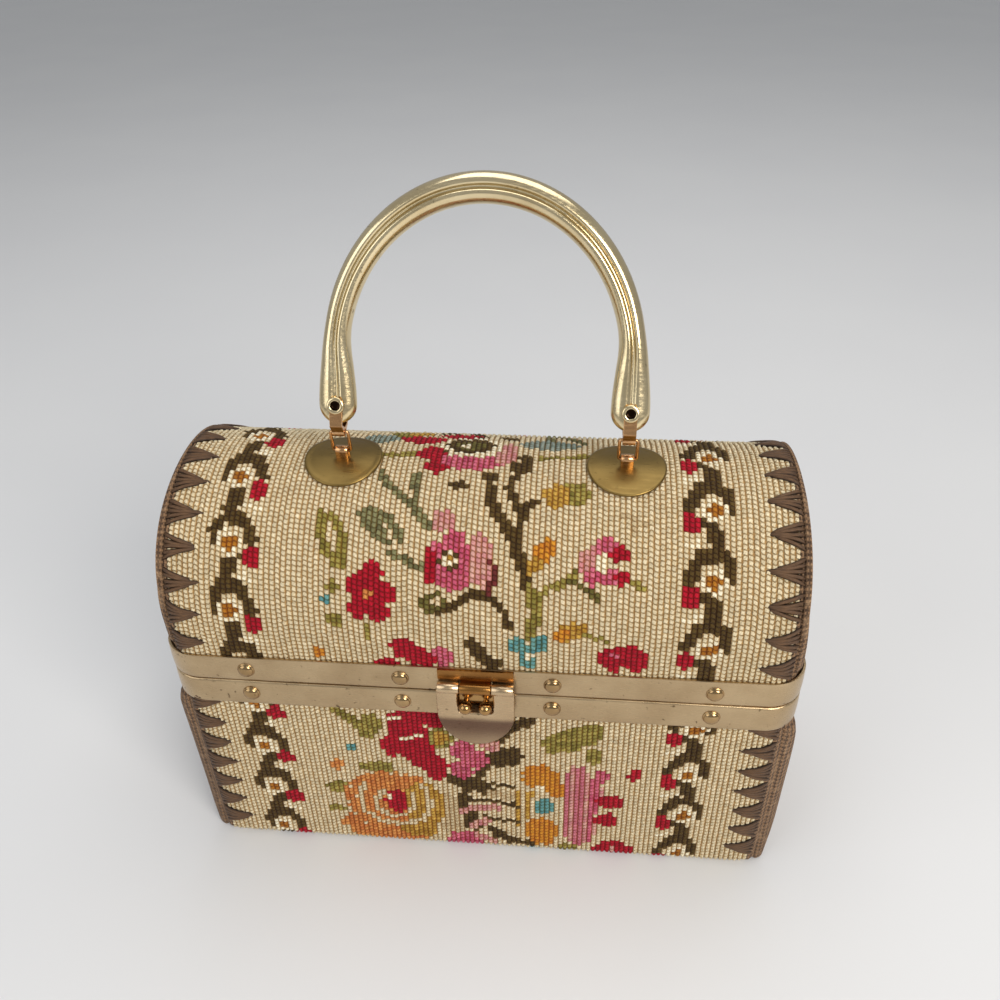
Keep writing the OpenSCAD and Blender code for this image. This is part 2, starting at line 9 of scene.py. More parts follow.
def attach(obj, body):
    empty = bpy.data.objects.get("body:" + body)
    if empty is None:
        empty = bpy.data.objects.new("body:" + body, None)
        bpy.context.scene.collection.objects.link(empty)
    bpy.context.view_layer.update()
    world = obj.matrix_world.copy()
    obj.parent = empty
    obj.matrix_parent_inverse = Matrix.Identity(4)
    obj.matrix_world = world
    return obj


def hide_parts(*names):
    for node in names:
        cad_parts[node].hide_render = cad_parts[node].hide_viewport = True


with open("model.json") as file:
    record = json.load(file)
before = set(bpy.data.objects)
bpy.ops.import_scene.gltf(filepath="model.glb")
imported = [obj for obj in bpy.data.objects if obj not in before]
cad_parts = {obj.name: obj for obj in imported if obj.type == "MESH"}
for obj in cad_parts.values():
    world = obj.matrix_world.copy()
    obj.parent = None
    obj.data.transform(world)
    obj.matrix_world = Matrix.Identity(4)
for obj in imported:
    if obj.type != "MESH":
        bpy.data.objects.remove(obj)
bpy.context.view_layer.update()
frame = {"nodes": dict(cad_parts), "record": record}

# %% [markdown]
# # A barrel-topped needlepoint handbag
# The bag is a box of board with a stitched wool cover, laced brown cloth ends and two riveted metal bands
# that meet at the parting line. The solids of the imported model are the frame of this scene. Every soft piece
# is made again here as a surface worked out with numpy, in millimetres, and put on the body that carries it.

# %% Tools for surfaces
MM = 0.001
SIDES = {-1: "left", 1: "right"}
rng = np.random.default_rng(11)


def tint(red, green, blue):
    """Linear colour of an sRGB triple: c / 12.92 near black, else ((c + 0.055) / 1.055) to the 2.4."""
    c = np.array([red, green, blue]) / 255
    return np.where(c <= 0.04045, c / 12.92, ((c + 0.055) / 1.055) ** 2.4)


def smooth(t):
    """The smooth step 3 t^2 - 2 t^3 of t held between 0 and 1."""
    t = np.clip(t, 0, 1)
    return t * t * (3 - 2 * t)


def unit(v):
    """Vectors divided by their lengths."""
    return v / np.maximum(np.linalg.norm(v, axis=-1, keepdims=True), 1e-9)


def normals(points):
    """Unit normals of a grid: the cross product of its slopes along u and v."""
    return unit(np.cross(np.gradient(points, axis=0), np.gradient(points, axis=1)))


def circle(count):
    """Angles once round, evenly apart."""
    return np.linspace(0, 2 * np.pi, count, endpoint=False)


def capped(points):
    """A tube points[u, v] closed at both ends: each end ring is drawn together to its mean."""
    ends = np.broadcast_to(points[[0, -1]].mean(1, keepdims=True), (2, *points.shape[1:]))
    return np.concatenate([ends[:1], points, ends[1:]])


# %% [markdown]
# A surface is a grid of points with quads between them. A piece is a mesh made of one or more surfaces, which
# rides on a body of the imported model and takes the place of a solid.


# %% Tools for meshes
def surface(points, wrap_u=False, wrap_v=False, uv=None, inside=None, inward=False, **values):
    """Quads over a grid points[u, v], turned to look away from inside, or towards it where inward is set.

    A wrapped direction joins its last row to its first. The side is the sign of the sum of (middle of the
    quad - inside) . normal, which for a closed surface is three times its volume."""
    nu, nv = points.shape[:2]
    i, j = np.meshgrid(np.arange(nu - (not wrap_u)), np.arange(nv - (not wrap_v)), indexing="ij")
    i1, j1 = (i + 1) % nu, (j + 1) % nv
    quads = np.stack([i * nv + j, i1 * nv + j, i1 * nv + j1, i * nv + j1], -1).reshape(-1, 4)
    if uv is None:
        uv = np.stack(np.meshgrid(np.linspace(0, 1, nu), np.linspace(0, 1, nv), indexing="ij"), -1)
    flat = points.reshape(-1, 3)
    corner = flat[quads]
    normal = np.cross(corner[:, 2] - corner[:, 0], corner[:, 3] - corner[:, 1])
    start = flat.mean(0) if inside is None else np.asarray(inside, float)
    if (((corner.mean(1) - start) * normal).sum() < 0) != inward:
        quads = quads[:, ::-1]
    rows = {k: np.broadcast_to(v, (nu, nv)).ravel() for k, v in values.items()}
    return {"points": flat, "quads": quads, "uv": uv.reshape(-1, 2), "values": rows}


def piece(name, surfaces, slot, body, replaced, weld=False, sharp=None, colours=None, look=None):
    """One mesh object from several surfaces, riding on a body in place of the named solid."""
    starts = np.cumsum([0] + [len(s["points"]) for s in surfaces[:-1]])
    points = np.concatenate([s["points"] for s in surfaces]) * MM
    quads = np.concatenate([s["quads"] + k for s, k in zip(surfaces, starts)])
    uv = np.concatenate([s["uv"] for s in surfaces])
    mesh = bpy.data.meshes.new(name)
    mesh.vertices.add(len(points))
    mesh.vertices.foreach_set("co", points.ravel())
    mesh.loops.add(quads.size)
    mesh.loops.foreach_set("vertex_index", quads.ravel())
    mesh.polygons.add(len(quads))
    mesh.polygons.foreach_set("loop_start", np.arange(0, quads.size, 4))
    mesh.polygons.foreach_set("use_smooth", np.ones(len(quads), bool))
    mesh.update(calc_edges=True)
    mesh.uv_layers.new(name="UVMap").data.foreach_set("uv", uv[quads].ravel())
    for key in surfaces[0]["values"]:
        column = np.concatenate([s["values"][key] for s in surfaces]).astype(np.float32)
        mesh.attributes.new(key, "FLOAT", "POINT").data.foreach_set("value", column)
    if colours is not None:
        corner = np.repeat(np.insert(colours, 3, 1, axis=1), 4, axis=0).astype(np.float32)
        dyed = mesh.attributes.new("stitch_colour", "FLOAT_COLOR", "CORNER")
        dyed.data.foreach_set("color", corner.ravel())
    if weld:
        work = bmesh.new()
        work.from_mesh(mesh)
        bmesh.ops.remove_doubles(work, verts=work.verts, dist=1e-7)
        work.to_mesh(mesh)
        work.free()
    if sharp is not None:
        mesh.set_sharp_from_angle(angle=np.radians(sharp))
    mesh.materials.append(LOOK[look or slot])
    obj = bpy.data.objects.new(name, mesh)
    bpy.context.scene.collection.objects.link(obj)
    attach(obj, body)
    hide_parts(replaced)
    print(f"{name}: {len(mesh.vertices)} points, {len(mesh.polygons)} faces")
    return obj


# %% [markdown]
# ## Materials
# The metal is thin plated brass: fine rubbing along its length, specks where the plating has gone and a cloudy
# tarnish. The wool has twisted yarn and the ends are rough cloth. All of it is procedural and reads object
# coordinates, the piece's own UV map or an attribute of its mesh.


# %% Material tools
def feed(tree, made, inputs):
    """Sets the inputs of a node to a value, or links them to a socket."""
    for key, value in dict(inputs).items():
        if isinstance(value, bpy.types.NodeSocket):
            tree.links.new(value, made.inputs[key])
        else:
            made.inputs[key].default_value = value


def node(tree, kind, inputs=(), **settings):
    """A shader node with its settings and inputs."""
    made = tree.nodes.new(kind)
    for key, value in settings.items():
        setattr(made, key, value)
    feed(tree, made, inputs)
    return made


def place_in(tree):
    """Object coordinates."""
    return node(tree, "ShaderNodeTexCoord").outputs["Object"]


def uv_in(tree):
    """The piece's UV map."""
    return node(tree, "ShaderNodeUVMap", uv_map="UVMap").outputs[0]


def value_in(tree, name, kind="Fac"):
    """An attribute of the mesh."""
    return node(tree, "ShaderNodeAttribute", attribute_name=name).outputs[kind]


def calc(tree, operation, *values):
    """The result of a math node."""
    return node(tree, "ShaderNodeMath", enumerate(values), operation=operation).outputs[0]


def mapped(tree, vector, key, value):
    """A vector scaled or turned."""
    return node(tree, "ShaderNodeMapping", {"Vector": vector, key: value}).outputs[0]


def noise(tree, vector, scale, detail):
    """Fractal noise."""
    return node(tree, "ShaderNodeTexNoise", {"Vector": vector, "Scale": scale, "Detail": detail}).outputs["Fac"]


def wave(tree, vector, scale, distortion, inputs=(), **settings):
    """Bands of waves."""
    inputs = {"Vector": vector, "Scale": scale, "Distortion": distortion, **dict(inputs)}
    return node(tree, "ShaderNodeTexWave", inputs, **settings).outputs["Fac"]


def ramp(tree, value, low, high, out_low=0.0, out_high=1.0):
    """Maps a value from low..high to out_low..out_high, held at both ends."""
    made = node(tree, "ShaderNodeMapRange", {"Value": value, "From Min": low, "From Max": high,
                                             "To Min": out_low, "To Max": out_high})
    return made.outputs["Result"]


def mixed(tree, share, a, b, blend="MIX"):
    """The colour a turning into b by share."""
    a, b = (c if isinstance(c, bpy.types.NodeSocket) else (*c, 1) for c in (a, b))
    made = node(tree, "ShaderNodeMix", data_type="RGBA", blend_type=blend)
    feed(tree, made, {"Factor": share, 6: a, 7: b})
    return made.outputs[2]


def bumped(tree, height, depth):
    """The normal of a surface raised by a height of 0 to 1 times a depth in metres."""
    return node(tree, "ShaderNodeBump", {"Height": height, "Distance": depth, "Strength": 1.0}).outputs[0]


# %% [markdown]
# Three shared groups hold what several materials use: the wear of plated metal, the yarn of the stitches and the
# weave of the cloths. They give out values only.


# %% Shared groups
def shared_group(name, build):
    """A shader group whose float outputs are the values that build makes in its tree."""
    tree = bpy.data.node_groups.new(name, "ShaderNodeTree")
    values = build(tree)
    for key in values:
        tree.interface.new_socket(key, in_out="OUTPUT", socket_type="NodeSocketFloat")
    node(tree, "NodeGroupOutput", values)
    return tree


def wear(tree):
    """Plated metal: rubbing lines along X, specks of lost plating and clouds of tarnish, by object place."""
    place = place_in(tree)
    rub = noise(tree, mapped(tree, place, "Scale", (60, 900, 900)), 2.0, 3.0)
    speck = ramp(tree, noise(tree, place, 420.0, 3.0), 0.66, 0.74)
    cloud = ramp(tree, noise(tree, place, 55.0, 5.0), 0.38, 0.68)
    return {"Rub": rub, "Speck": speck, "Cloud": cloud}


def yarn(tree):
    """Wool in stitch units of the UV map: plies, fuzz and a body that is 0 in the slanting gaps round a stitch."""
    uv = uv_in(tree)
    parts = node(tree, "ShaderNodeSeparateXYZ", {0: uv}).outputs
    across = calc(tree, "FRACT", parts[0])
    slant = calc(tree, "MULTIPLY_ADD", across, 0.4, parts[1])
    along = calc(tree, "FRACT", calc(tree, "SUBTRACT", slant, 0.2))
    body = []
    for share, edge in ((across, 0.2), (along, 0.17)):
        off = calc(tree, "ABSOLUTE", calc(tree, "SUBTRACT", share, 0.5))
        body.append(ramp(tree, off, 0.49, 0.5 - edge))
    turned_uv = mapped(tree, uv, "Rotation", (0, 0, 0.6))
    ply = wave(tree, turned_uv, 0.75, 1.5, {"Detail": 1.0, "Detail Scale": 2.0})
    return {"Ply": ply, "Fuzz": noise(tree, uv, 5.0, 4.0), "Body": calc(tree, "MULTIPLY", *body)}


def weave(tree):
    """Plain weave in thread units of the UV map: warp or weft by the crossing, and thick flecks."""
    uv = uv_in(tree)
    check = node(tree, "ShaderNodeTexChecker", {"Vector": uv, "Scale": 1.0}).outputs["Fac"]
    warp, weft = (wave(tree, uv, 0.159, 0.3, bands_direction=way) for way in "XY")
    over = node(tree, "ShaderNodeMix", {0: check, 2: warp, 3: weft}, data_type="FLOAT").outputs[0]
    return {"Thread": over, "Fleck": noise(tree, uv, 0.35, 3.0)}


WEAR = shared_group("metal_wear", wear)
YARN = shared_group("yarn", yarn)
WEAVE = shared_group("plain_weave", weave)
print(len(bpy.data.node_groups), "shared groups")


# %% [markdown]
# Each kind of stuff is a function, because several pieces share it in other colours.


# %% Kinds of stuff
def shaded(name, shared=None):
    """A new node material; returns it with its tree, its Principled shader and the outputs of a shared group."""
    made = bpy.data.materials.new(name)
    made.use_nodes = True
    tree = made.node_tree
    values = node(tree, "ShaderNodeGroup", node_tree=shared).outputs if shared else None
    return made, tree, tree.nodes["Principled BSDF"], values


def metal(name, colour, stain_and_painted_reflection, rough, rub, speck, painted_dark_colour=None):
    """Plated brass: colour drawn to a tarnished colour by clouds and to brown by specks, with roughness varied by the
    rubbing.

    Where the mesh's value says so, the colour also turns to a painted dark colour: a painted dark reflection on the
    hasp's tab and painted shade in the eyelets' bores."""
    made, tree, shader, worn = shaded(name, WEAR)
    cloudy = mixed(tree, ramp(tree, worn["Cloud"], 0, 1, 0, 0.55), tint(*colour), tint(*stain_and_painted_reflection))
    if painted_dark_colour:
        cloudy = mixed(tree, value_in(tree, "tarnish"), cloudy, tint(*painted_dark_colour))
    spots = ramp(tree, worn["Speck"], 0, 1, 0, speck)
    feed(tree, shader, {
        "Base Color": mixed(tree, spots, cloudy, tint(70, 50, 28)), "Metallic": 1,
        "Roughness": ramp(tree, worn["Rub"], 0.3, 0.7, rough - 0.07, rough + 0.1),
        "Normal": bumped(tree, worn["Rub"], rub)})
    return made


def cloth(name, colour, dark, light, depth, rough, sheen):
    """Woven cloth: threads shaded between dark and colour, with light flecks."""
    made, tree, shader, woven = shaded(name, WEAVE)
    thread = mixed(tree, ramp(tree, woven["Thread"], 0.1, 0.8), tint(*dark), tint(*colour))
    flecked = mixed(tree, ramp(tree, woven["Fleck"], 0.5, 0.75, 0, 0.7), thread, tint(*light))
    feed(tree, shader, {"Base Color": flecked, "Roughness": rough, "Sheen Weight": sheen,
                        "Normal": bumped(tree, woven["Thread"], depth)})
    return made


def wool(name):
    """Wool stitches: each keeps its own colour, with painted shade down in the gaps, and plies and fuzz on top."""
    made, tree, shader, spun = shaded(name, YARN)
    white = (1, 1, 1)
    shade = mixed(tree, ramp(tree, spun["Fuzz"], 0.3, 0.7), (0.8, 0.78, 0.74), (1.06, 1.06, 1.06))
    # Painted shade: darker down in the gaps by the mesh's depth, and round the slanting edge of each stitch.
    painted_gap_shade = mixed(tree, ramp(tree, value_in(tree, "depth"), 0.0, 0.6), tint(224, 202, 168), white)
    edge = mixed(tree, spun["Body"], tint(214, 192, 160), white)
    worked = value_in(tree, "stitch_colour", "Color")
    for layer in (shade, painted_gap_shade, edge):
        worked = mixed(tree, 1.0, worked, layer, "MULTIPLY")
    height = calc(tree, "MULTIPLY_ADD", spun["Ply"], 0.35, spun["Body"])
    feed(tree, shader, {"Base Color": worked, "Roughness": 0.9, "Specular IOR Level": 0.2, "Sheen Weight": 0.03,
                        "Normal": bumped(tree, height, 0.0005)})
    return made


def strand(name):
    """Glossy brown strands: fibres run along the strand, with painted light on its top and painted shade down its
    sides.
    """
    made, tree, shader, _ = shaded(name)
    fibre = noise(tree, mapped(tree, uv_in(tree), "Scale", (1.2, 9, 1)), 4.0, 4.0)
    worn = mixed(tree, ramp(tree, fibre, 0.35, 0.7), tint(64, 42, 24), tint(120, 87, 56))
    # Painted light on the strand's top from the mesh's value, and painted shade in dark brown down its sides.
    rubbed = ramp(tree, value_in(tree, "rubbed"), 0.1, 0.9)
    feed(tree, shader, {
        "Base Color": mixed(tree, rubbed, tint(34, 21, 12), worn), "Specular IOR Level": 0.35,
        "Roughness": ramp(tree, fibre, 0.3, 0.7, 0.4, 0.62), "Normal": bumped(tree, fibre, 0.0002)})
    return made


def board(name):
    """Grey-brown card with pressed fibres."""
    made, tree, shader, _ = shaded(name)
    fibre = noise(tree, place_in(tree), 300.0, 4.0)
    feed(tree, shader, {"Base Color": mixed(tree, fibre, tint(150, 126, 96), tint(186, 164, 130)),
                        "Roughness": 0.9, "Normal": bumped(tree, fibre, 0.0001)})
    return made


# %% [markdown]
# The look of each material slot. The clasp and the handle also carry a painted dark colour where the mesh says so:
# a painted dark reflection on the hasp's tab and painted shade in the eyelets' bores. The small solids of the clasp
# are darker copies of its metal: painted shade on the leaf and pin, and a painted dark reflection on the ball studs.

# %% Looks of the slots
# A cloth: colour, dark and light, then depth of the weave, roughness and sheen.
# A metal: colour and stain, then roughness, depth of the rubbing, share of specks and the mesh's painted shade
# colour.
LOOK = {
    "board": board("card"),
    "tapestry": wool("wool_stitches"),
    "end_cloth": cloth("brown_cloth", (134, 102, 72), (68, 47, 30), (168, 136, 102), 0.0006, 0.85, 0.02),
    "lacing": strand("brown_strands"),
    "lining": cloth("lining_cloth", (188, 166, 130), (140, 116, 84), (200, 184, 152), 0.0002, 0.75, 0.15),
    "band": metal("champagne_band", (192, 168, 132), (160, 134, 100), 0.3, 0.00002, 0.75),
    "rivet": metal("rivet_brass", (176, 146, 104), (112, 84, 52), 0.12, 0.00001, 0.4),
    # The last colour is a painted dark reflection on the hasp's tab.
    "clasp": metal("clasp_brass", (204, 178, 142), (166, 138, 106), 0.27, 0.00002, 0.5, (100, 74, 62)),
    "plate": metal("olive_brass", (138, 114, 66), (104, 84, 46), 0.34, 0.00002, 0.35),
    "link": metal("copper_gold", (216, 172, 124), (178, 124, 78), 0.2, 0.00001, 0.3),
    # The last colour is painted shade in the eyelets' bores.
    "handle": metal("pale_gold", (228, 210, 170), (202, 178, 130), 0.17, 0.000008, 0.5, (34, 22, 14)),
}
# Darker copies of the clasp's metal: painted shade on its leaf and pin, and a painted dark reflection on its ball
# studs.
BAR = metal("brown_gold_painted_shade", (158, 112, 60), (116, 76, 38), 0.24, 0.00002, 0.4)
STUD = metal("dark_gold_painted_reflection", (176, 138, 88), (128, 92, 54), 0.12, 0.00001, 0.3)
print(len(LOOK) + 2, "materials")

# %% [markdown]
# ## The cover's form
# The lid's cover runs from the front band straight up, over a half round and down to the back. Towards the ends
# it turns in with the frame's rounded corners. A real one is cut as one strip and drawn over the board. The
# base's strip runs down the front, under the box and up the back.

# %% Cover forms
R = 50.85  # half depth of both covers and radius of the barrel
BARREL_Z = 119.2  # height of the barrel's axis
LID_FOOT = 104.0  # where the lid's cover ends, tucked behind its band
LID_WALL = BARREL_Z - LID_FOOT
LID_LEN = 2 * LID_WALL + np.pi * R
LID_END = 117.8  # half width of the lid's ends at their band
LID_DRAFT = 2.8  # narrowing of each lid end
DRAFT_Z = 111.2  # height where the lid starts to narrow
DRAFT_RUN = 26.8  # height over which it narrows
CORNER_X = 106.5  # where the corners start to turn
CREST_R = 4.5  # rounding of the lid's ends at the crest
CREST_POWER = 6  # how soon that rounding fades down the lid
BAND_LOW = 85.8  # lower edge of the base's band
BASE_TOP = 92.0  # where the base's cover ends, tucked behind its band
BASE_END = 119.45  # half width of the base's ends at their band
END_X = 119.15  # half width of the base's end cloth at its band
END_SWELL = 2.5  # swelling of the base's ends, fullest at END_MID
END_MID = 36.0  # height of the fullest place of the base's ends
END_TUCK = 2.4  # drawing in of the base's ends at the table
TUCK_Z = 24.0  # height where that starts
CORNER_SWELL = 3.7  # the corners' larger rounding under the band
SWELL_RUN = 8  # height over which that grows
FOOT_R = 4.0  # rounding of the lower edges
BASE_WALL = BASE_TOP - FOOT_R
FOOT_ARC = FOOT_R * np.pi / 2
BASE_FLAT = 2 * (R - FOOT_R)
BASE_LEN = 2 * BASE_WALL + 2 * FOOT_ARC + BASE_FLAT
END_FOOT_R = 8.0  # rounding of the ends' lower edges
END_FOOT_X = 114.0  # where it starts
END_FOOT_Z = 50.0  # height where it fades out
LACE_X = 112.0  # where the stitched cover meets the brown ends


def lid_profile(s):
    """y and z at the distance s along the lid's outline: straight, a half circle and straight again."""
    a = np.clip((s - LID_WALL) / R, 0, np.pi)
    below = np.clip(LID_WALL - s, 0, None) + np.clip(s - LID_WALL - np.pi * R, 0, None)
    return -R * np.cos(a), BARREL_Z + R * np.sin(a) - below


def base_profile(s):
    """y and z along the base's outline: down, a quarter round, flat, a quarter round and up."""
    a = np.clip((s - BASE_WALL) / FOOT_R, 0, np.pi / 2)
    b = np.clip((s - BASE_WALL - FOOT_ARC - BASE_FLAT) / FOOT_R, 0, np.pi / 2)
    run = np.clip(s - BASE_WALL - FOOT_ARC, 0, BASE_FLAT)
    rise = np.clip(s - BASE_LEN + BASE_WALL, 0, BASE_WALL)
    y = -R + FOOT_R * (1 - np.cos(a)) + run + FOOT_R * np.sin(b)
    z = BASE_TOP - np.clip(s, 0, BASE_WALL) - FOOT_R * np.sin(a) + FOOT_R * (1 - np.cos(b)) + rise
    return y, z


def rounding(x, start, r):
    """Drop of a quarter round of radius r that begins at start: r - sqrt(r^2 - (|x| - start)^2)."""
    past = np.clip(np.abs(x) - start, 0, r)
    return r - np.sqrt(r ** 2 - past ** 2)


def turned_in(x, y, corner_r):
    """y drawn in towards the ends: scaled by 1 - (rounding / R) |y / R|^8, so flats turn in and crests stay."""
    return y * (1 - rounding(x, CORNER_X, corner_r) / R * np.abs(y / R) ** 8)


def lid_end_x(z):
    """Half width of the lid: even up to DRAFT_Z, then narrowing along a line, and upright above."""
    return LID_END - LID_DRAFT * np.clip((z - DRAFT_Z) / DRAFT_RUN, 0, 1)


def lid_cover(x, s):
    """Point of the lid's cover at x and outline distance s, its crest dropping in a quarter round at the ends."""
    x, s = np.broadcast_arrays(x, s)
    y, z = lid_profile(s)
    y = turned_in(x, y, LID_END - CORNER_X)
    drop = rounding(x, LID_END - LID_DRAFT - CREST_R, CREST_R)
    z = z - drop * np.clip((z - LID_FOOT) / (BARREL_Z + R - LID_FOOT), 0, 1) ** CREST_POWER
    return np.stack([x, y, z], -1)


def end_x(z):
    """Half width of the base's ends: a fourth power curve that meets the band, drawn in at the table."""
    swell = END_SWELL * (1 - ((z - END_MID) / (BAND_LOW - END_MID)) ** 4)
    return END_X + np.where(z < BAND_LOW, swell, 0) - END_TUCK * smooth((TUCK_Z - z) / TUCK_Z)


def base_cover(x, s):
    """Point of the base's cover at x and outline distance s, with the foot lifting at the ends."""
    x, s = np.broadcast_arrays(x, s)
    y, z = base_profile(s)
    y = turned_in(x, y, BASE_END - CORNER_X + CORNER_SWELL * smooth((BAND_LOW - z) / SWELL_RUN))
    lift = rounding(x, END_FOOT_X, END_FOOT_R)
    return np.stack([x, y, z + lift * np.clip(1 - z / END_FOOT_Z, 0, 1)], -1)


print(f"lid outline {LID_LEN:.0f} mm, base outline {BASE_LEN:.0f} mm")

# %% [markdown]
# ## The stitched picture
# A flower garden in wool on a cream ground: a tree with blossoms on the lid, a bunch of roses on the base and two
# climbing borders with daisies and red buds. Each motif is an oval or a line, in millimetres on the cloth. A
# stitch takes the colour of the last motif that covers its middle, which gives the stepped edges of counted work.
# Each row of a table names a wool and then its lines, with a width and points, or its ovals, with the middle, the
# half widths and sometimes a turn in degrees. Each wool has two dyes.

# %% Picture tools
PITCH = 2.0  # width of one column of stitches
RAGGED = 0.16  # how far a motif's edge strays from stitch to stitch
WOOL = {
    "cream": ((227, 212, 179), (212, 195, 160)), "pale": ((247, 239, 214), (238, 227, 198)),
    "bark": ((92, 72, 34), (72, 54, 24)), "olive": ((168, 154, 80), (118, 108, 46)),
    "mist": ((150, 160, 150), (118, 134, 126)), "moss": ((112, 104, 52), (92, 84, 40)),
    "grey": ((140, 138, 98), (98, 96, 64)), "red": ((184, 22, 44), (158, 14, 36)),
    "pink": ((214, 112, 136), (182, 70, 100)), "blush": ((218, 170, 158), (198, 126, 132)),
    "gold": ((206, 164, 76), (166, 124, 42)), "orange": ((212, 146, 46), (198, 124, 40)),
    "amber": ((176, 114, 34), (156, 98, 30)), "coral": ((220, 152, 84), (196, 114, 58)),
    "teal": ((112, 164, 160), (84, 140, 146)), "sand": ((206, 188, 152), (190, 168, 132)),
    "plum": ((112, 44, 44), (92, 40, 36)), "rose": ((206, 122, 136), (188, 100, 118)),
}


def oval(x, t, mid_x, mid_t, half_x, half_t, turn=0.0):
    """1 on the rim of an oval with its middle, half widths and turn in degrees, less inside."""
    a = np.radians(turn)
    dx, dt = x - mid_x, t - mid_t
    return np.hypot((dx * np.cos(a) + dt * np.sin(a)) / half_x, (dt * np.cos(a) - dx * np.sin(a)) / half_t)


def line(x, t, width, *points):
    """1 at half a width from a line through the points, less inside: the least distance to its stretches."""
    best = np.full(np.broadcast(x, t).shape, np.inf)
    for (x0, t0), (x1, t1) in zip(points[:-1], points[1:]):
        along = ((x - x0) * (x1 - x0) + (t - t0) * (t1 - t0)) / ((x1 - x0) ** 2 + (t1 - t0) ** 2)
        along = np.clip(along, 0, 1)
        best = np.minimum(best, np.hypot(x - x0 - along * (x1 - x0), t - t0 - along * (t1 - t0)))
    return best / (width / 2)


def stitch(picture, tone, name, field):
    """Colours the stitches where field is below a ragged edge round 1, between the wool's two dyes by tone."""
    a, b = (tint(*c) for c in WOOL[name])
    covered = field < 1 + RAGGED * ((7.3 * tone) % 1 - 0.5)
    picture[covered] = (a + (b - a) * tone[..., None])[covered]


def ground(tone):
    """A picture of cream stitches."""
    picture = np.empty((*tone.shape, 3))
    stitch(picture, tone, "cream", np.zeros(tone.shape))
    return picture


def draw(picture, tone, x, t, shape, table):
    """Stitches the motifs of a table of lines or ovals, one over the other."""
    for name, *motifs in table:
        for motif in motifs:
            stitch(picture, tone, name, shape(x, t, *motif))


# %% [markdown]
# The border climbs: an arch of bark over each daisy, a stem that leads to the next, and buds beside it.

# %% The border
BORDER = 26.0  # length of one repeat of the climbing border
BORDER_LINES = [
    ("bark", (4.4, (5, -0.6), (5.6, -5.2), (4.4, -7.7), (0.6, -9.7), (-2.5, -9), (-5.6, -6.5), (-7.8, -2.6),
     (-8.1, -0.6)), (5.6, (-1.6, 5), (0, 9.2), (1.3, 13.7), (0.6, 16.3))),
]
BORDER_JOINT = [("bark", (-1, -9.6, 5.6, 2.8))]
BORDER_FLOWERS = [
    ("pale", (0, 0, 4.7, 4.9)), ("amber", (0, 0, 2.5, 2.7)), ("red", (-7.8, 5.4, 3.6, 4.1)),
    ("pale", (-5.3, 12.3, 1.6, 1.9), (-8.8, 13.5, 1.4, 1.6)),
]


def border(picture, tone, across, along):
    """The climbing border: across is the distance outward from the daisies, along is down from one of them."""
    along = (along + BORDER / 2) % BORDER - BORDER / 2
    x, t = np.broadcast_arrays(across, along)
    repeats = (-BORDER, 0, BORDER)
    for k in repeats:
        draw(picture, tone, x, t + k, line, BORDER_LINES)
        draw(picture, tone, x, t + k, oval, BORDER_JOINT)
    for k in repeats:
        draw(picture, tone, x, t + k, oval, BORDER_FLOWERS)


# %% [markdown]
# The lid's tree is drawn twice, once for each side of the crest, so that it stands upright seen from the front
# and from the back. The open flower at the crest is drawn once.

# %% The lid's picture
LID_BORDERS = ((82.8, 23.3), (89.2, 15.9))  # right and left: distance of the daisies from the middle, and offset
LID_LINES = [
    ("bark", (4.2, (19.3, 55.1), (16.8, 47.9), (14.2, 40.7), (12.6, 36.1), (9.6, 31.5), (5.5, 25.7),
     (3.1, 18.2), (2.9, 11)), (3.0, (14, 37), (15.1, 30.3), (16.6, 25.2), (19.7, 22.5)),
     (2.6, (14.9, 27.3), (12.2, 21.2), (10, 16.8), (12.6, 10))),
    ("olive", (4.6, (19.6, 55), (21.3, 60), (21.4, 65.7), (19.4, 73)),
     (2.8, (21.5, 58), (27, 53), (33.3, 50.8), (36.5, 47))),
    ("moss", (2.6, (34.2, 51.3), (40.6, 54.2), (42.5, 57))), ("olive", (2.8, (52, 49.5), (58.6, 52.5))),
    ("bark", (3.2, (5.1, 57.5), (-0.4, 57), (-5, 60.1), (-10.6, 63.3), (-16, 63.6)),
     (2.8, (4.6, 57), (9.8, 62.3), (12.7, 69.4))),
    ("plum", (2.6, (4.7, 44.7), (6.8, 49.2), (5.1, 57))),
    ("grey", (3.4, (-36.9, 12.7), (-31, 19.7), (-24.7, 24.8), (-21.3, 29.8), (-15, 34.5)),
     (3.4, (-24.4, 12.2), (-23, 22.6)), (2.6, (-29.7, 43.4), (-22, 47.7), (-17, 48.4))),
    ("olive", (2.4, (21, 1), (39.3, -1.9))),
    ("sand", (2.2, (51.6, 25.9), (56, 30), (61.6, 28.4)), (2.0, (53.5, 35), (57, 29))),
    ("olive", (2.2, (38, 70.5), (46.9, 72.9)), (2.4, (-39.4, 72), (-38.4, 77))),
]
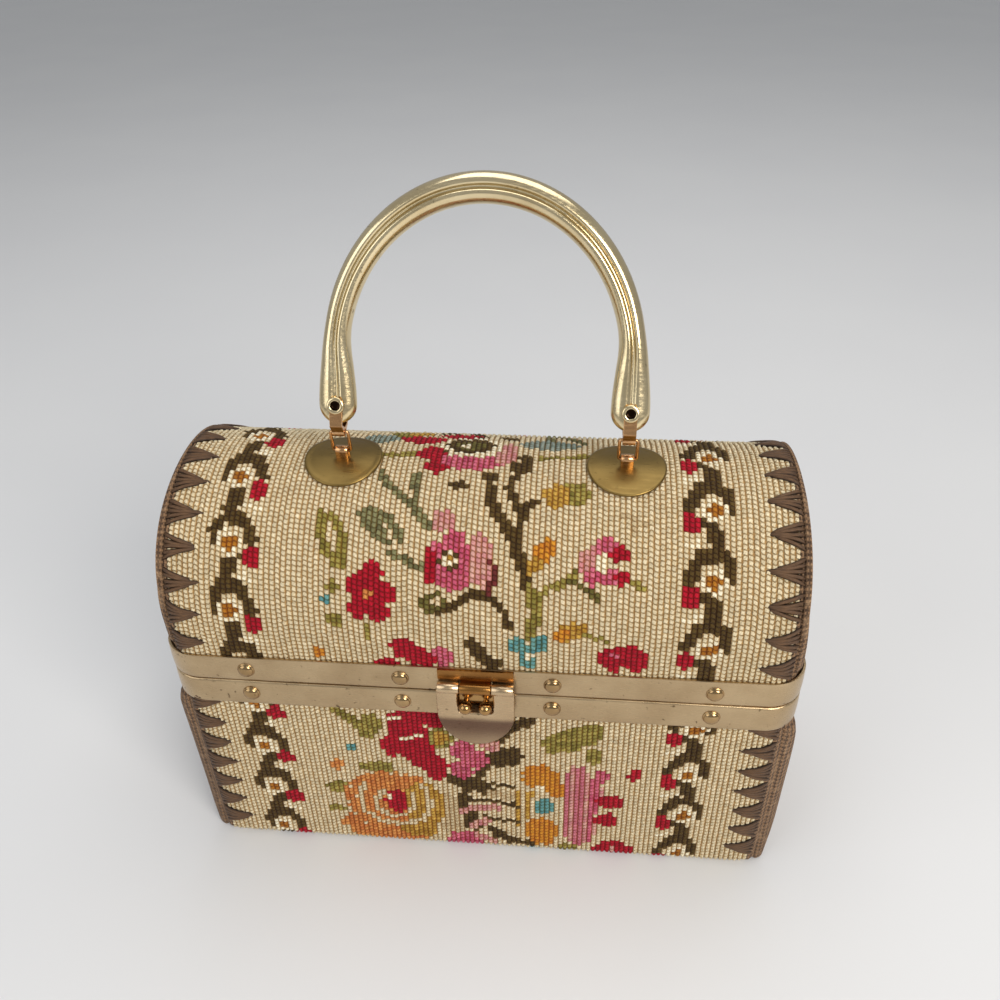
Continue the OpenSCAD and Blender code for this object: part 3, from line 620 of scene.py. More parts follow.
LID_OVALS = [
    ("bark", (13.6, 4.6, 4.8, 5.6)), ("cream", (12.3, 3.4, 1.4, 1.6)), ("bark", (-8.5, 16.4, 3.8, 2.4)),
    ("moss", (-15.2, 61, 5.4, 3.8, -10)), ("cream", (-13.8, 60.2, 2, 1.3)),
    ("bark", (0.6, 80.4, 3.2, 6.6, -35), (6.4, 86.8, 4, 2.6)), ("orange", (23, 42.2, 3.4, 7, 30)),
    ("gold", (20.8, 46, 2.2, 3.6, 30)), ("olive", (33, 18.6, 6.2, 5.4)),
    ("gold", (27.6, 20, 5, 5), (33.5, 70.4, 7, 3.4, -25)), ("orange", (31, 71.6, 3.4, 2.4, -25)),
    ("olive", (-51.4, 39.5, 5, 11.6, -20)), ("cream", (-52, 38.2, 1.6, 5.6, -20)),
    ("grey", (-34.8, 33.4, 9.8, 5.2, 35)), ("cream", (-32.4, 34.6, 2.4, 1.2, 35), (-30, 39, 1.8, 1.2, 30)),
    ("blush", (-12.4, 31, 4.6, 3.6)), ("orange", (-58.6, 85.5, 2.4, 3.4)), ("teal", (-54, 61, 2.2, 2)),
    ("olive", (-51, 56.6, 2.6, 2.8), (-50.5, 69.5, 3.4, 3.2)), ("pink", (-8.4, 45.6, 8.6, 10.8)),
    ("blush", (1.4, 42, 4.2, 6.8), (2, 50, 3.6, 4.6)), ("red", (-16.4, 47, 2.4, 7.2)),
    ("cream", (-14.4, 37, 2, 2), (-3.2, 36.2, 1.4, 2.2)), ("bark", (-9.4, 45, 3.6, 3.6)),
    ("pale", (-9.4, 45, 2.7, 2.6)), ("gold", (-9.4, 45, 1.1, 1.1)),
    ("red", (-36.9, 50.8, 4.4, 4.8), (-42.2, 56, 3.9, 4.2), (-41.2, 63.6, 4.4, 4.4), (-35, 65.2, 4.4, 4.4),
     (-31.6, 58, 3.8, 4), (-37.4, 58, 5, 5)),
    ("coral", (-38, 58.2, 1.4, 2.2)), ("blush", (40, 44, 3.6, 5.2)), ("pink", (45.4, 38, 4.2, 3.6)),
    ("red", (50, 40.8, 3.6, 3.2)), ("pink", (46.6, 49.4, 4.6, 3.4)), ("red", (51, 49.2, 2.6, 2.6)),
    ("pink", (41.2, 49, 3.4, 3.2)), ("pale", (44.6, 43.8, 2.6, 3.2)),
    ("red", (-26.5, 81, 4.4, 5.4), (-21, 84.8, 4.8, 5.2), (-33, 89, 4, 3)), ("pink", (-12.4, 84.2, 4.4, 5.2)),
    ("red", (-17, 86, 3, 3.4), (53.6, 81.6, 8.8, 7)), ("cream", (53.8, 87, 1.6, 3)),
    ("pink", (50, 80, 1.2, 1.4)),
    ("teal", (15.2, 77.4, 3.4, 4), (23, 75.8, 3.6, 4.4), (19.2, 84.6, 3.6, 3.8), (19.5, 80.5, 3, 3.2)),
    ("pale", (19.7, 82, 1.4, 1.6)),
]
CREST_OVALS = [
    ("mist", (24, -10, 12, 4.6), (-41, -12, 8, 4.4)),
    ("red", (-20.3, -1, 5.2, 5.2), (-17, 6.6, 4.8, 4.4), (-25, -12, 9, 4.4)), ("pink", (-4.5, 3.6, 12, 5.6)),
    ("blush", (7.6, -2, 4.6, 8)), ("red", (-11, -18, 8, 3.6)), ("pale", (-5.6, -7, 11.6, 8.6)),
    ("bark", (-6, -7.4, 9.4, 6.4)), ("moss", (-6, -7.4, 6.4, 3.6)), ("pale", (-7.6, -7.2, 2, 1.6)),
]


def lid_picture(x, s, tone):
    """Colours of the lid's stitches at x and s: the tree on both sides, the crest's flower, then the borders."""
    picture = ground(tone)
    t = LID_LEN / 2 - s
    for side in SIDES:
        draw(picture, tone, side * x, side * t, line, LID_LINES)
        draw(picture, tone, side * x, side * t, oval, LID_OVALS)
    draw(picture, tone, x, t, oval, CREST_OVALS)
    for side, (out, down) in zip((1, -1), LID_BORDERS):
        border(picture, tone, side * x - out, t - down)
    return picture


print(sum(len(row) - 1 for row in LID_LINES + LID_OVALS + CREST_OVALS), "motifs on the lid")

# %% [markdown]
# The base's bunch: a red flower by the clasp, a gold rose with rings, an orange flower and a striped pink bloom
# among olive leaves. The picture's second coordinate is the height over the table.

# %% The base's picture
BASE_BORDERS = ((82.6, 30.2), (87.8, 32.7))  # right and left: distance of the daisies from the middle, and offset
BASE_LINES = [
    ("olive", (5.0, (-56.5, 83.2), (-49.5, 77))),
    ("bark", (5.2, (6.5, 70), (12.1, 77.6), (20.2, 82.7)), (5.0, (-10.8, 44), (-3.4, 41), (5.1, 37)),
     (4.6, (-10.5, 26.6), (-5.1, 23.6), (-3.2, 13)), (3.4, (3, 56), (-2, 46), (-8, 34)),
     (6, (-10.5, 46), (-2.4, 44), (3.3, 38.5)), (4.0, (-6.2, 33.5), (-8.6, 28), (-6.6, 22.5), (-6.9, 14))),
    ("gold", (2.4, (14.8, 38), (14.4, 18)), (2.2, (20, 40), (19, 22))), ("rose", (3.0, (35, 12), (35.5, 52))),
    ("blush", (2.2, (37.6, 8), (38, 57))), ("rose", (2.6, (40.2, 6), (40.2, 57))),
    ("blush", (2.0, (42.6, 8), (42.8, 54))), ("pink", (2.6, (45.2, 10), (46.4, 52))),
    ("blush", (1.8, (47.6, 14), (48.4, 44))), ("bark", (3.6, (5.7, 12.1), (12.4, 5.4), (20.3, 4.4))),
]
BASE_OVALS = [
    ("olive", (-43.6, 74.5, 4.8, 8, -25), (36.5, 73.4, 13.4, 6.4, 32), (44.8, 64, 3.6, 5.4)),
    ("bark", (9.8, 60.5, 7.4, 6, 20)), ("blush", (4, 67.6, 4.6, 4)),
    ("olive", (-42.8, 49.8, 7.5, 3.6), (-60.8, 35.7, 4.6, 4), (-62.5, 21.4, 4, 2.2)),
    ("coral", (-59, 50.2, 2.2, 4.2)), ("teal", (-51.8, 60.5, 2.2, 2.4)), ("olive", (36, 3.5, 5, 3)),
    ("sand", (-14.6, 27, 5.2, 9), (-12.6, 13, 4.6, 6.4)),
    ("coral", (-37.1, 27.5, 20.6, 19.6), (-56, 13, 6, 4.4, 20), (-40, 6.4, 17, 6.2)),
    ("gold", (-24.4, 26, 8.4, 15), (-27, 10, 8, 5), (-26, 29, 4.4, 9)), ("red", (-36, 28.4, 5, 7.6)),
    ("pale", (-38.6, 31, 1.1, 1.6)),
    ("red", (-30, 77, 6.6, 8), (-18.5, 82, 7, 6), (-35, 63.6, 4.8, 6), (-25, 60, 6.4, 7.6),
     (-18.2, 51, 5.2, 7.4), (-26.4, 69, 9, 9)),
    ("pink", (-6.8, 63, 5, 6), (-0.8, 57.6, 4.2, 5.4), (-7.6, 51.6, 4.6, 6)),
    ("olive", (-15.6, 69.4, 5, 6.4)), ("gold", (-15.6, 69.6, 3, 3.8)),
    ("orange", (24.2, 48.6, 7.6, 8.4), (31, 42, 3.6, 5.4), (25, 14, 6.8, 9)), ("pale", (24, 42, 1.5, 2.2)),
    ("teal", (26, 30.5, 4.8, 5.2)), ("red", (52.3, 36.4, 5.6, 4.4), (51.8, 24.4, 5.2, 4.4)),
    ("pink", (48.6, 52, 3.4, 4)), ("red", (61.7, 53.9, 3, 3.6), (55, 3.6, 9, 6.4)),
    ("blush", (55, 4, 1.4, 1.6)), ("pink", (-8, 3.6, 8, 6.6)), ("teal", (21.4, -1.5, 4, 2.8)),
]
BASE_STREAKS = [
    ("pale", (1.9, (-30.4, 68.4), (-22, 70.1)), (2.0, (-36.6, 80.5), (-30.5, 80.6))),
    ("cream", (2.6, (-49.6, 38), (-51.9, 29), (-50.6, 20.8), (-44, 14.5), (-35.3, 12.5), (-26.2, 16.3),
     (-22.1, 25.1), (-22.3, 34.7), (-25.6, 40.6)), (2.4, (-40.6, 35.6), (-44.9, 28.4), (-44.2, 21.5),
     (-38.6, 17.9), (-33, 18.8), (-29.6, 24.3), (-28.6, 34.1))),
    ("sand", (5.0, (4, 37.4), (12.5, 36.4))),
    ("blush", (4.0, (-9, 24.6), (-1, 28), (6, 28)), (4.0, (-4, 14.6), (1.4, 19)), (4.0, (-2.7, 8.6), (4, 5))),
    ("bark", (2.4, (2, 43.4), (14, 42.2)), (2.4, (-3, 31.6), (6, 32.6), (14.6, 30)),
     (2.4, (1, 21.6), (8, 19.4), (15.6, 19.6)), (2.4, (2, 15), (6, 8), (14, 7))),
]


def base_picture(x, s, tone):
    """Colours of the base's stitches at x and s: the bunch on front and back, then the borders all round."""
    picture = ground(tone)
    for side, z in ((1, BASE_TOP - s), (-1, BASE_TOP - BASE_LEN + s)):
        draw(picture, tone, side * x, z, line, BASE_LINES)
        draw(picture, tone, side * x, z, oval, BASE_OVALS)
        draw(picture, tone, side * x, z, line, BASE_STREAKS)
    for side, (out, down) in zip((1, -1), BASE_BORDERS):
        border(picture, tone, side * x - out, s - BASE_TOP + down)
    return picture


print(sum(len(row) - 1 for row in BASE_LINES + BASE_OVALS + BASE_STREAKS), "motifs on the base")

# %% [markdown]
# ## The stitched covers
# The wool is worked in upright rows: each column of stitches stands up as a ridge with a gap beside it, painted
# darker as shade, and each stitch is a bead on its ridge. The surface is the cover's form moved along its normal by
# the stitch height.

# %% Stitched covers
COLUMNS = int(round(2 * LACE_X / PITCH))
ACROSS, ALONG = 3, 2  # faces across and along one stitch
STRAY = 0.45  # how far a column may slip along the cover, in stitches
GAP = -0.5  # height of the gaps
RIDGE, BEAD = 0.28, 0.5  # rise of a column, and of each stitch on it
UNEVEN, WANDER = 0.07, 0.13  # spread of the stitches' heights and of their places
TABLE_GAP = 0.05  # least height of the stitches over the table
PEAK = 0.75  # sin^2 at the points of a ridge, a third of the way across
DYE_SPREAD = 0.05  # spread of the stitches' brightness


def stitched(name, cover, picture, length, rows, mid_z, body):
    """A cover of stitches: GAP high in the gaps, up sin^2 across each column and sin^2 along each stitch.

    Under the base the stitches are pressed flat on the table."""
    col = np.arange(ACROSS * COLUMNS + 1)[:, None] / ACROSS
    row = np.arange(ALONG * rows + 1)[None, :] / ALONG
    shift = rng.uniform(-STRAY, STRAY, COLUMNS)
    c = np.minimum(col[:, 0].astype(int), COLUMNS - 1)
    on_gap = np.isclose(col[:, 0] % 1, 0)
    slip = np.where(on_gap, 0.5 * (shift[c] + shift[np.maximum(c - 1, 0)]), shift[c])
    x = col * PITCH - LACE_X + np.zeros_like(row)
    s = np.clip((row + slip[:, None]) / rows, 0, 1) * length
    cover_at = cover(x, s)
    out = normals(cover_at)
    middle = np.array([0, 0, mid_z])
    if ((cover_at - middle) * out).sum() < 0:
        out = -out
    each = rng.normal(0, 1, (COLUMNS, rows, 2))
    r = np.minimum(row[0].astype(int), rows - 1)
    own = each[c][:, r]
    ridge = np.sin(np.pi * col) ** 2 / PEAK
    bead = np.sin(np.pi * row) ** 2
    height = GAP + ridge * (RIDGE + BEAD * bead + UNEVEN * own[..., 0])
    points = cover_at + out * height[..., None]
    points[..., 0] += WANDER * own[..., 1] * ridge
    points[..., 2] = np.maximum(points[..., 2], TABLE_GAP)
    uv = np.stack(np.broadcast_arrays(col, row), -1).astype(float)
    # The mesh's depth is 0 in the gaps and 1 on the beads; the wool paints shade by it.
    made = surface(points, uv=uv, inside=middle, depth=ridge * (0.45 + 0.55 * bead))
    tone = rng.uniform(0, 1, (COLUMNS, rows))
    xc = (np.arange(COLUMNS)[:, None] + 0.5) * PITCH - LACE_X
    sc = (np.arange(rows)[None, :] + 0.5 + shift[:, None]) / rows * length
    colours = picture(xc + np.zeros_like(sc), sc, tone)
    colours = colours * rng.normal(1, DYE_SPREAD, (COLUMNS, rows, 1))
    by_face = np.repeat(np.repeat(colours, ACROSS, axis=0), ALONG, axis=1).reshape(-1, 3)
    obj = piece(name, [made], "tapestry", body, f"{body}_tapestry", colours=np.clip(by_face, 0, 1))


stitched("lid_needlepoint", lid_cover, lid_picture, LID_LEN, rows=100, mid_z=100.0, body="lid")
stitched("base_needlepoint", base_cover, base_picture, BASE_LEN, rows=140, mid_z=50.0, body="base")

# %% [markdown]
# ## Brown cloth ends
# The ends are brown cloth over a thin pad. Each rolls over the edge of the box in a full fold, with a dark groove
# where it meets the stitched cover, and swells a little in the middle.

# %% Cloth ends
THREAD = 1.1  # width of one thread of the end cloth
HIDDEN = 6.2  # length of cover behind a band
UNDER = 0.4  # reach of the end cloth under the edge of the stitched cover
EDGING, EDGING_AT, EDGING_HALF = 0.4, 0.12, 0.08  # edging beside the stitches: height, share of the way, half width
GROOVE, GROOVE_AT, GROOVE_HALF = 0.35, 0.3, 0.07  # groove beside it: depth, share of the way, half width
ROLL = 1.9  # height of the roll over the edge of the box
PAD = 0.8  # swelling of the padded face
END_GAP = 0.25  # least height of the end cloth over the table


def end_panel(name, cover, length, x_end, middle, body, side):
    """An end: rings of the cover's outline from the laced edge out over a roll, then drawn in to its middle.

    Along each ring runs s. The first rings go out as sin of the way, over the edging, the groove and the roll.
    The later ones shrink by k to the middle of the foot line, on the padded face of the end, where the weave
    runs level and upright."""
    s = np.linspace(0, length, 150)[:, None]
    way = np.linspace(0, 1, 28)[None, :]
    z_edge = cover(np.full_like(s, LACE_X), s)[..., 2]
    rolled = cover(LACE_X - UNDER + (x_end(z_edge) - LACE_X + UNDER) * np.sin(way * np.pi / 2), s)
    roll = EDGING * np.exp(-((way - EDGING_AT) / EDGING_HALF) ** 2)
    roll = roll - GROOVE * np.exp(-((way - GROOVE_AT) / GROOVE_HALF) ** 2)
    roll = roll + ROLL * np.sin(np.pi * np.clip(way - GROOVE_AT, 0, 1)) ** 0.6
    out = rolled - np.array([LACE_X - 12, 0, middle])
    out[..., 0] *= 0.3 + 0.7 * way ** 2
    tucked = smooth((np.minimum(s, length - s) - HIDDEN) / 3)
    rolled = rolled + unit(out) * (roll * tucked)[..., None]
    rim = rolled[:, -1:]
    k = np.linspace(1, 0, 26)[None, :, None]
    face = np.concatenate([rim[..., :2] * k, middle + (rim[..., 2:] - middle) * k], -1)
    pad = PAD * smooth(np.abs(face[..., 2] - middle) / 16 - 0.5)
    near = k[..., 0] ** 6
    face[..., 0] = rim[..., 0] * near + (x_end(face[..., 2]) + pad) * (1 - near)
    points = np.concatenate([rolled, face], 1)
    points[..., 2] = np.maximum(points[..., 2], END_GAP)
    points[..., 0] *= side
    run = np.cumsum(np.linalg.norm(np.diff(rolled, axis=1, prepend=rolled[:, :1]), axis=-1), axis=1)
    uv = np.concatenate([np.stack([np.broadcast_to(s, run.shape), run], -1), face[..., 1:]], 1) / THREAD
    made = surface(points, uv=uv, inside=(side * 90, 0, middle))
    obj = piece(name, [made], "end_cloth", body, f"{body}_end_{SIDES[side]}", weld=True)


for side, word in SIDES.items():
    end_panel(f"lid_cloth_{word}", lid_cover, LID_LEN, lid_end_x, LID_FOOT, "lid", side)
    end_panel(f"base_cloth_{word}", base_cover, BASE_LEN, end_x, BASE_TOP, "base", side)

# %% [markdown]
# ## Lacing
# The cover is laced to the ends with fans of glossy brown strands. Each fan is a leaf of five strands that start
# in the groove and meet in a point on the stitched cover.

# %% Fans of strands
FAN_LEN, FAN_HALF, STRANDS = 13.4, 5.0, 5  # length, half width and strands of a fan
LID_FANS, LID_FAN_WALL = 14, 9.0  # fans over the lid, and length of the wall that they share
FAN_LOW, FAN_STEP, BASE_FANS = 12.5, 12.0, 7  # lowest fan of the base, their spacing and number on a side
FAN_START = 1.7  # how far beyond the laced edge the strands start
FAN_POINT = 2.0  # how much shorter the outer strands are
FAN_STRAY, STRAND_STRAY = 1.1, 0.3  # how far the strands stray along the fan and across it
STRAND_W, STRAND_H = 0.92, 0.8  # half width and half height of a strand at the groove
RINGS, RING_POINTS = 9, 6  # rings along a strand, and points round it
lid_fan_s = (np.arange(LID_FANS) + 0.5) * (2 * LID_FAN_WALL + np.pi * R) / LID_FANS + LID_WALL - LID_FAN_WALL
base_fan_z = FAN_LOW + FAN_STEP * np.arange(BASE_FANS)
base_fan_s = np.concatenate([BASE_TOP - base_fan_z, BASE_LEN - BASE_TOP + base_fan_z])


def fans(name, cover, middles, mid_z, body, side):
    """Flat tubes that spread from the point of a fan: offset o times a leaf's outline, diving in at both ends.

    The outline is 0.12 + 0.5 (1 - q^1.4) + 0.38 (1 - q)^3: full along the leaf, flaring at the groove."""
    q = np.linspace(0, 1, RINGS)
    turn = circle(RING_POINTS)
    mid, o = (a.reshape(-1, 1) for a in np.meshgrid(middles, np.linspace(-1, 1, STRANDS), indexing="ij"))
    sway = rng.uniform(-1, 1, (len(mid), 3))
    x = LACE_X + FAN_START - (FAN_LEN + FAN_STRAY * sway[:, :1] - FAN_POINT * np.abs(o)) * q
    spread = 0.12 + 0.5 * (1 - q ** 1.4) + 0.38 * (1 - q) ** 3
    s = mid + (FAN_HALF * o + STRAND_STRAY * sway[:, 1:2]) * spread + STRAND_STRAY * sway[:, 2:] * np.sin(np.pi * q)
    line_at = cover(x, s)
    ahead, across = unit(cover(x - 0.1, s) - line_at), unit(cover(x, s + 0.1) - line_at)
    up = np.cross(ahead, across)
    up *= np.sign(((line_at - np.array([60.0, 0, mid_z])) * up).sum(-1, keepdims=True))
    high = 0.95 * np.sin(np.pi * np.clip(q * 0.86 + 0.12, 0, 1)) ** 0.6 - 0.35 - 0.25 * q ** 3
    ends = np.where((q == 0) | (q == 1), 0.02, 1.0)
    half_w = (STRAND_W - 0.22 * q ** 2) * ends
    half_h = STRAND_H * (1 - 0.4 * q ** 2) * ends
    rise = high[:, None] + half_h[:, None] * np.sin(turn)
    shift = half_w[:, None] * np.cos(turn)
    tubes = line_at[:, :, None] + up[:, :, None] * rise[..., None] + across[:, :, None] * shift[..., None]
    tubes[..., 0] *= side
    # Painted light: 1 on the strand's top, most in its middle, and 0 down its sides, where the material paints shade.
    rub = np.clip(np.sin(turn), 0, 1) * (0.55 + 0.45 * np.sin(np.pi * q[:, None]))
    strands = []
    for k, tube in enumerate(tubes):
        uv = np.stack(np.meshgrid(q + 3 * k, np.arange(RING_POINTS) / RING_POINTS, indexing="ij"), -1)
        strands.append(surface(tube, wrap_v=True, uv=uv, rubbed=rub))
    piece(name, strands, "lacing", body, f"{body}_lacing_{SIDES[side]}")


for side, word in SIDES.items():
    fans(f"lid_fans_{word}", lid_cover, lid_fan_s, mid_z=120, body="lid", side=side)
    fans(f"base_fans_{word}", base_cover, base_fan_s, mid_z=50, body="base", side=side)

# %% [markdown]
# ## Lining
# Both halves are lined with plain cloth that is glued to the board and tucked behind the inner leg of the band.
# It follows the walls with soft creases near the corners.

# %% Linings
LINING_PLAN = (114.3, 45.7, 7.8)  # half width, half depth and corner radius
LINING_END = 114.0  # half width that holds the lining's ends
LINING_R = 45.2  # radius of the lid lining's roof
LAY_R = 45.8  # half depth over which its weave is laid out
ROOF_DROP, DROP_X, DROP_RUN = 5, 106, 9  # drop of the roof at its ends, where it starts and its run
LINING_DRAFT = 5.6  # narrowing of the lid lining's ends
LINING_RUN = 51.85  # height over which they narrow
FLOOR_Z = 5.4  # height of the base lining's floor
WALL_ROWS, ROOF_ROWS = 16, 30  # rows of points up the wall, and on to the middle


def outline(half_x, half_y, r, arc=14, flat=30):
    """Points and outward normals round a rectangle with rounded corners, counterclockwise from above."""
    points, out = [], []
    for k in range(4):
        a = np.linspace(0, np.pi / 2, arc) + k * np.pi / 2
        mid = np.array([(half_x - r) * (1, -1, -1, 1)[k], (half_y - r) * (1, 1, -1, -1)[k]])
        n = np.stack([np.cos(a), np.sin(a)], -1)
        points.append(mid + r * n)
        nxt = np.array([(half_x - r) * (-1, -1, 1, 1)[k], (half_y - r) * (1, -1, -1, 1)[k]]) + r * n[-1]
        t = np.linspace(0, 1, flat + 2)[1:-1, None]
        points.append(points[-1][-1] * (1 - t) + nxt * t)
        out.extend([n, np.repeat(n[-1:], flat, axis=0)])
    return np.concatenate(points), np.concatenate(out)


def lid_roof(x, y):
    """Height of the lid's lining: a round roof that drops towards the ends."""
    roof = BARREL_Z + np.sqrt(np.clip(LINING_R ** 2 - y ** 2, 0, None))
    return roof - ROOF_DROP * smooth((np.abs(x) - DROP_X) / DROP_RUN)


def lid_arc(y):
    """Length of the roof's arc from the crest to y."""
    return LINING_R * np.arcsin(np.clip(y / LAY_R, -1, 1))


def base_floor(x, y):
    """Height of the base's lining: level."""
    return np.full_like(x, FLOOR_Z)


def lining(name, top, ceiling, lay, body, draft=0.0):
    """A bowl: up or down the wall to the ceiling, then drawn in to the middle by the share k, with creases.

    Its ends are held within LINING_END, less the draft that grows evenly over LINING_RUN from DRAFT_Z. On
    the wall the weave follows outline and height, past its edge x and the laid out y."""
    plan, out = outline(*LINING_PLAN)
    a = circle(len(plan))
    up = np.linspace(0, 1, WALL_ROWS)[None, :]
    k = np.concatenate([np.ones(WALL_ROWS), np.cos(np.linspace(0, np.pi / 2, ROOF_ROWS))])[None, :]
    xy = plan[:, None] * k[..., None]
    edge = ceiling(plan[:, :1], plan[:, 1:])
    wall = np.concatenate([top + (edge - top) * up, ceiling(xy[:, WALL_ROWS:, 0], xy[:, WALL_ROWS:, 1])], 1)
    crease = 0.25 * np.sin(9 * a)[:, None] * np.sin(np.pi * np.linspace(0, 1, k.size)) * (k > 0.6)
    xy = xy - out[:, None] * ((0.3 + np.abs(crease)) * np.minimum(1, 4 * k))[..., None]
    half = LINING_END - draft * np.clip((wall - DRAFT_Z) / LINING_RUN, 0, 1)
    points = np.stack([np.clip(xy[..., 0], -half, half), xy[..., 1], wall], -1)
    round_plan = np.cumsum(np.linalg.norm(np.diff(plan, axis=0, prepend=plan[:1]), axis=-1))[:, None]
    uv = np.where((np.arange(k.size) < WALL_ROWS)[:, None],
                  np.stack([np.broadcast_to(round_plan, wall.shape), wall], -1),
                  np.stack([points[..., 0], lay(points[..., 1])], -1))
    made = surface(points, wrap_u=True, uv=uv, inside=(0, 0, 0.5 * (top + float(np.mean(edge)))), inward=True)
    obj = piece(name, [made], "lining", body, f"{body}_lining", weld=True)


lining("lid_lining_cloth", 99.4, lid_roof, lid_arc, body="lid", draft=LINING_DRAFT)
lining("base_lining_cloth", 96.6, base_floor, np.positive, body="base")

# %% [markdown]
# ## Metal bands and rivets
# Each half has a folded band of thin plated brass round its rim: an outer face, the rim and an inner leg. It is
# rolled as a strip, so here its section is carried round the rounded plan, with a slight wave of worn sheet.

# %% Bands
FRAME_X, FRAME_Y, FRAME_R = 120.5, 52.0, 14.0  # half width, half depth and corner radius of the bands
PARTING = 98.0  # height of the parting line
BAND_SECTION = np.array([  # distance out from the plan, and height
    (-0.45, 85.8), (-0.12, 85.85), (0.02, 86.1), (0.06, 87), (0.14, 89.5), (0.16, 92), (0.12, 94.5), (0.04, 96.6),
    (-0.12, 97.3), (-0.45, 97.7), (-0.9, 97.78), (-3, 97.8), (-6.6, 97.8), (-7.1, 97.65), (-7.3, 97.2), (-7.3, 94),
    (-7.3, 90.2), (-7.1, 89.8), (-6.6, 89.8), (-6.4, 90.2), (-6.4, 96.8), (-1.0, 96.8), (-1.0, 86.2), (-0.8, 85.8)])


def band(name, flip, body):
    """The section carried round the frame's plan; flip turns it over about the parting line."""
    plan, out = outline(FRAME_X, FRAME_Y, FRAME_R, arc=18, flat=60)
    a = circle(len(plan))
    n, z = BAND_SECTION.T
    z = 2 * PARTING - z if flip else z
    dent = 0.07 * np.sin(7 * a + flip) + 0.05 * np.sin(19 * a + 2 * flip)
    reach = n[None, :] + dent[:, None] * (n > -0.5)[None, :]
    xy = plan[:, None] + out[:, None] * reach[..., None]
    points = np.concatenate([xy, np.broadcast_to(z, reach.shape)[..., None]], -1)
    piece(name, [surface(points, wrap_u=True, wrap_v=True)], "band", body, f"{body}_band", sharp=50)


band("lid_rim_band", flip=1, body="lid")
band("base_rim_band", flip=0, body="base")

# %% [markdown]
# Dome rivets hold each band to the board: four on the front and on the back, and two on each end.

# %% Rivets
RIVET_X, RIVET_Y = (-87, -28.3, 28.3, 87), (-24, 24)  # places along the front and back, and along the ends
RIVET_OUT = 0.1  # distance of their feet out from the band's plan
RIVET_Z = 6.2  # distance from the parting line


def rivets(name, z, body):
    """Domes on the outer face: a small collar and a quarter circle up to the pole, turned about the rivet's axis."""
    a = np.linspace(0, np.pi / 2, 8)
    r = np.concatenate([[3.3, 3.35, 3.15], 3.0 * np.cos(a)])[:, None]
    h = np.concatenate([[-0.2, 0.2, 0.45], 0.45 + 1.55 * np.sin(a)])[:, None]
    t = circle(28)
    across, rise, out = np.broadcast_arrays(r * np.cos(t), r * np.sin(t), h)
    spots = [((x, s * (FRAME_Y + RIVET_OUT), z), (0, s)) for x in RIVET_X for s in (-1, 1)]
    spots += [((s * (FRAME_X + RIVET_OUT), y, z), (s, 0)) for y in RIVET_Y for s in (-1, 1)]
    made = []
    for place, (nx, ny) in spots:
        points = np.stack([out * nx - across * ny, across * nx + out * ny, rise], -1) + np.array(place)
        made.append(surface(points, wrap_v=True, inside=np.array(place) - 3 * np.array([nx, ny, 0])))
    piece(name, made, "rivet", body, f"{body}_rivets", weld=True)


rivets("lid_rivet_heads", PARTING + RIVET_Z, "lid")
rivets("base_rivet_heads", PARTING - RIVET_Z, "base")

# %% [markdown]
# ## Clasp
# The hasp is a stamped plate with a window and a D-shaped thumb tab. It hangs from the lid's clasp leaf and snaps
# over two ball studs. As a surface it is a U: its section runs from the window's edge to the outer edge and back
# behind, and is carried down one arm, round the tab and up the other arm.

# %% Hasp
HASP_Y = -56.2  # front face of the hasp
HASP_HALF = 14.5  # half width of the hasp and radius of its tab
HASP_TOP = 103.4  # upper end of its arms
TAB_Z = 90.5  # height of the tab's middle
WINDOW_HALF = 6.6  # half width of the window between the arms
WINDOW_LOW = 92.1  # where the window's sides end
SILL_HALF, SILL_Z = 6.0, 91.5  # lower edge of the window
BEND_Z = 86.5  # where the tab starts to bend out
TAB_ANGLE = np.radians(10)
KNUCKLE_X, KNUCKLE_Y, KNUCKLE_Z = 10.1, -54.6, 103.0  # middles of the two knuckles
ARM_ROWS, TAB_ROWS = 12, 40  # points along an arm and round the tab


def u_path(half, top, low, middle):
    """A line in x and z: down the left arm, along the middle and up the right arm."""
    z = np.linspace(top, low, ARM_ROWS)
    left, right = (np.stack([np.full(ARM_ROWS, x), z], -1) for x in (-half, half))
    return np.concatenate([left, middle, right[::-1]])


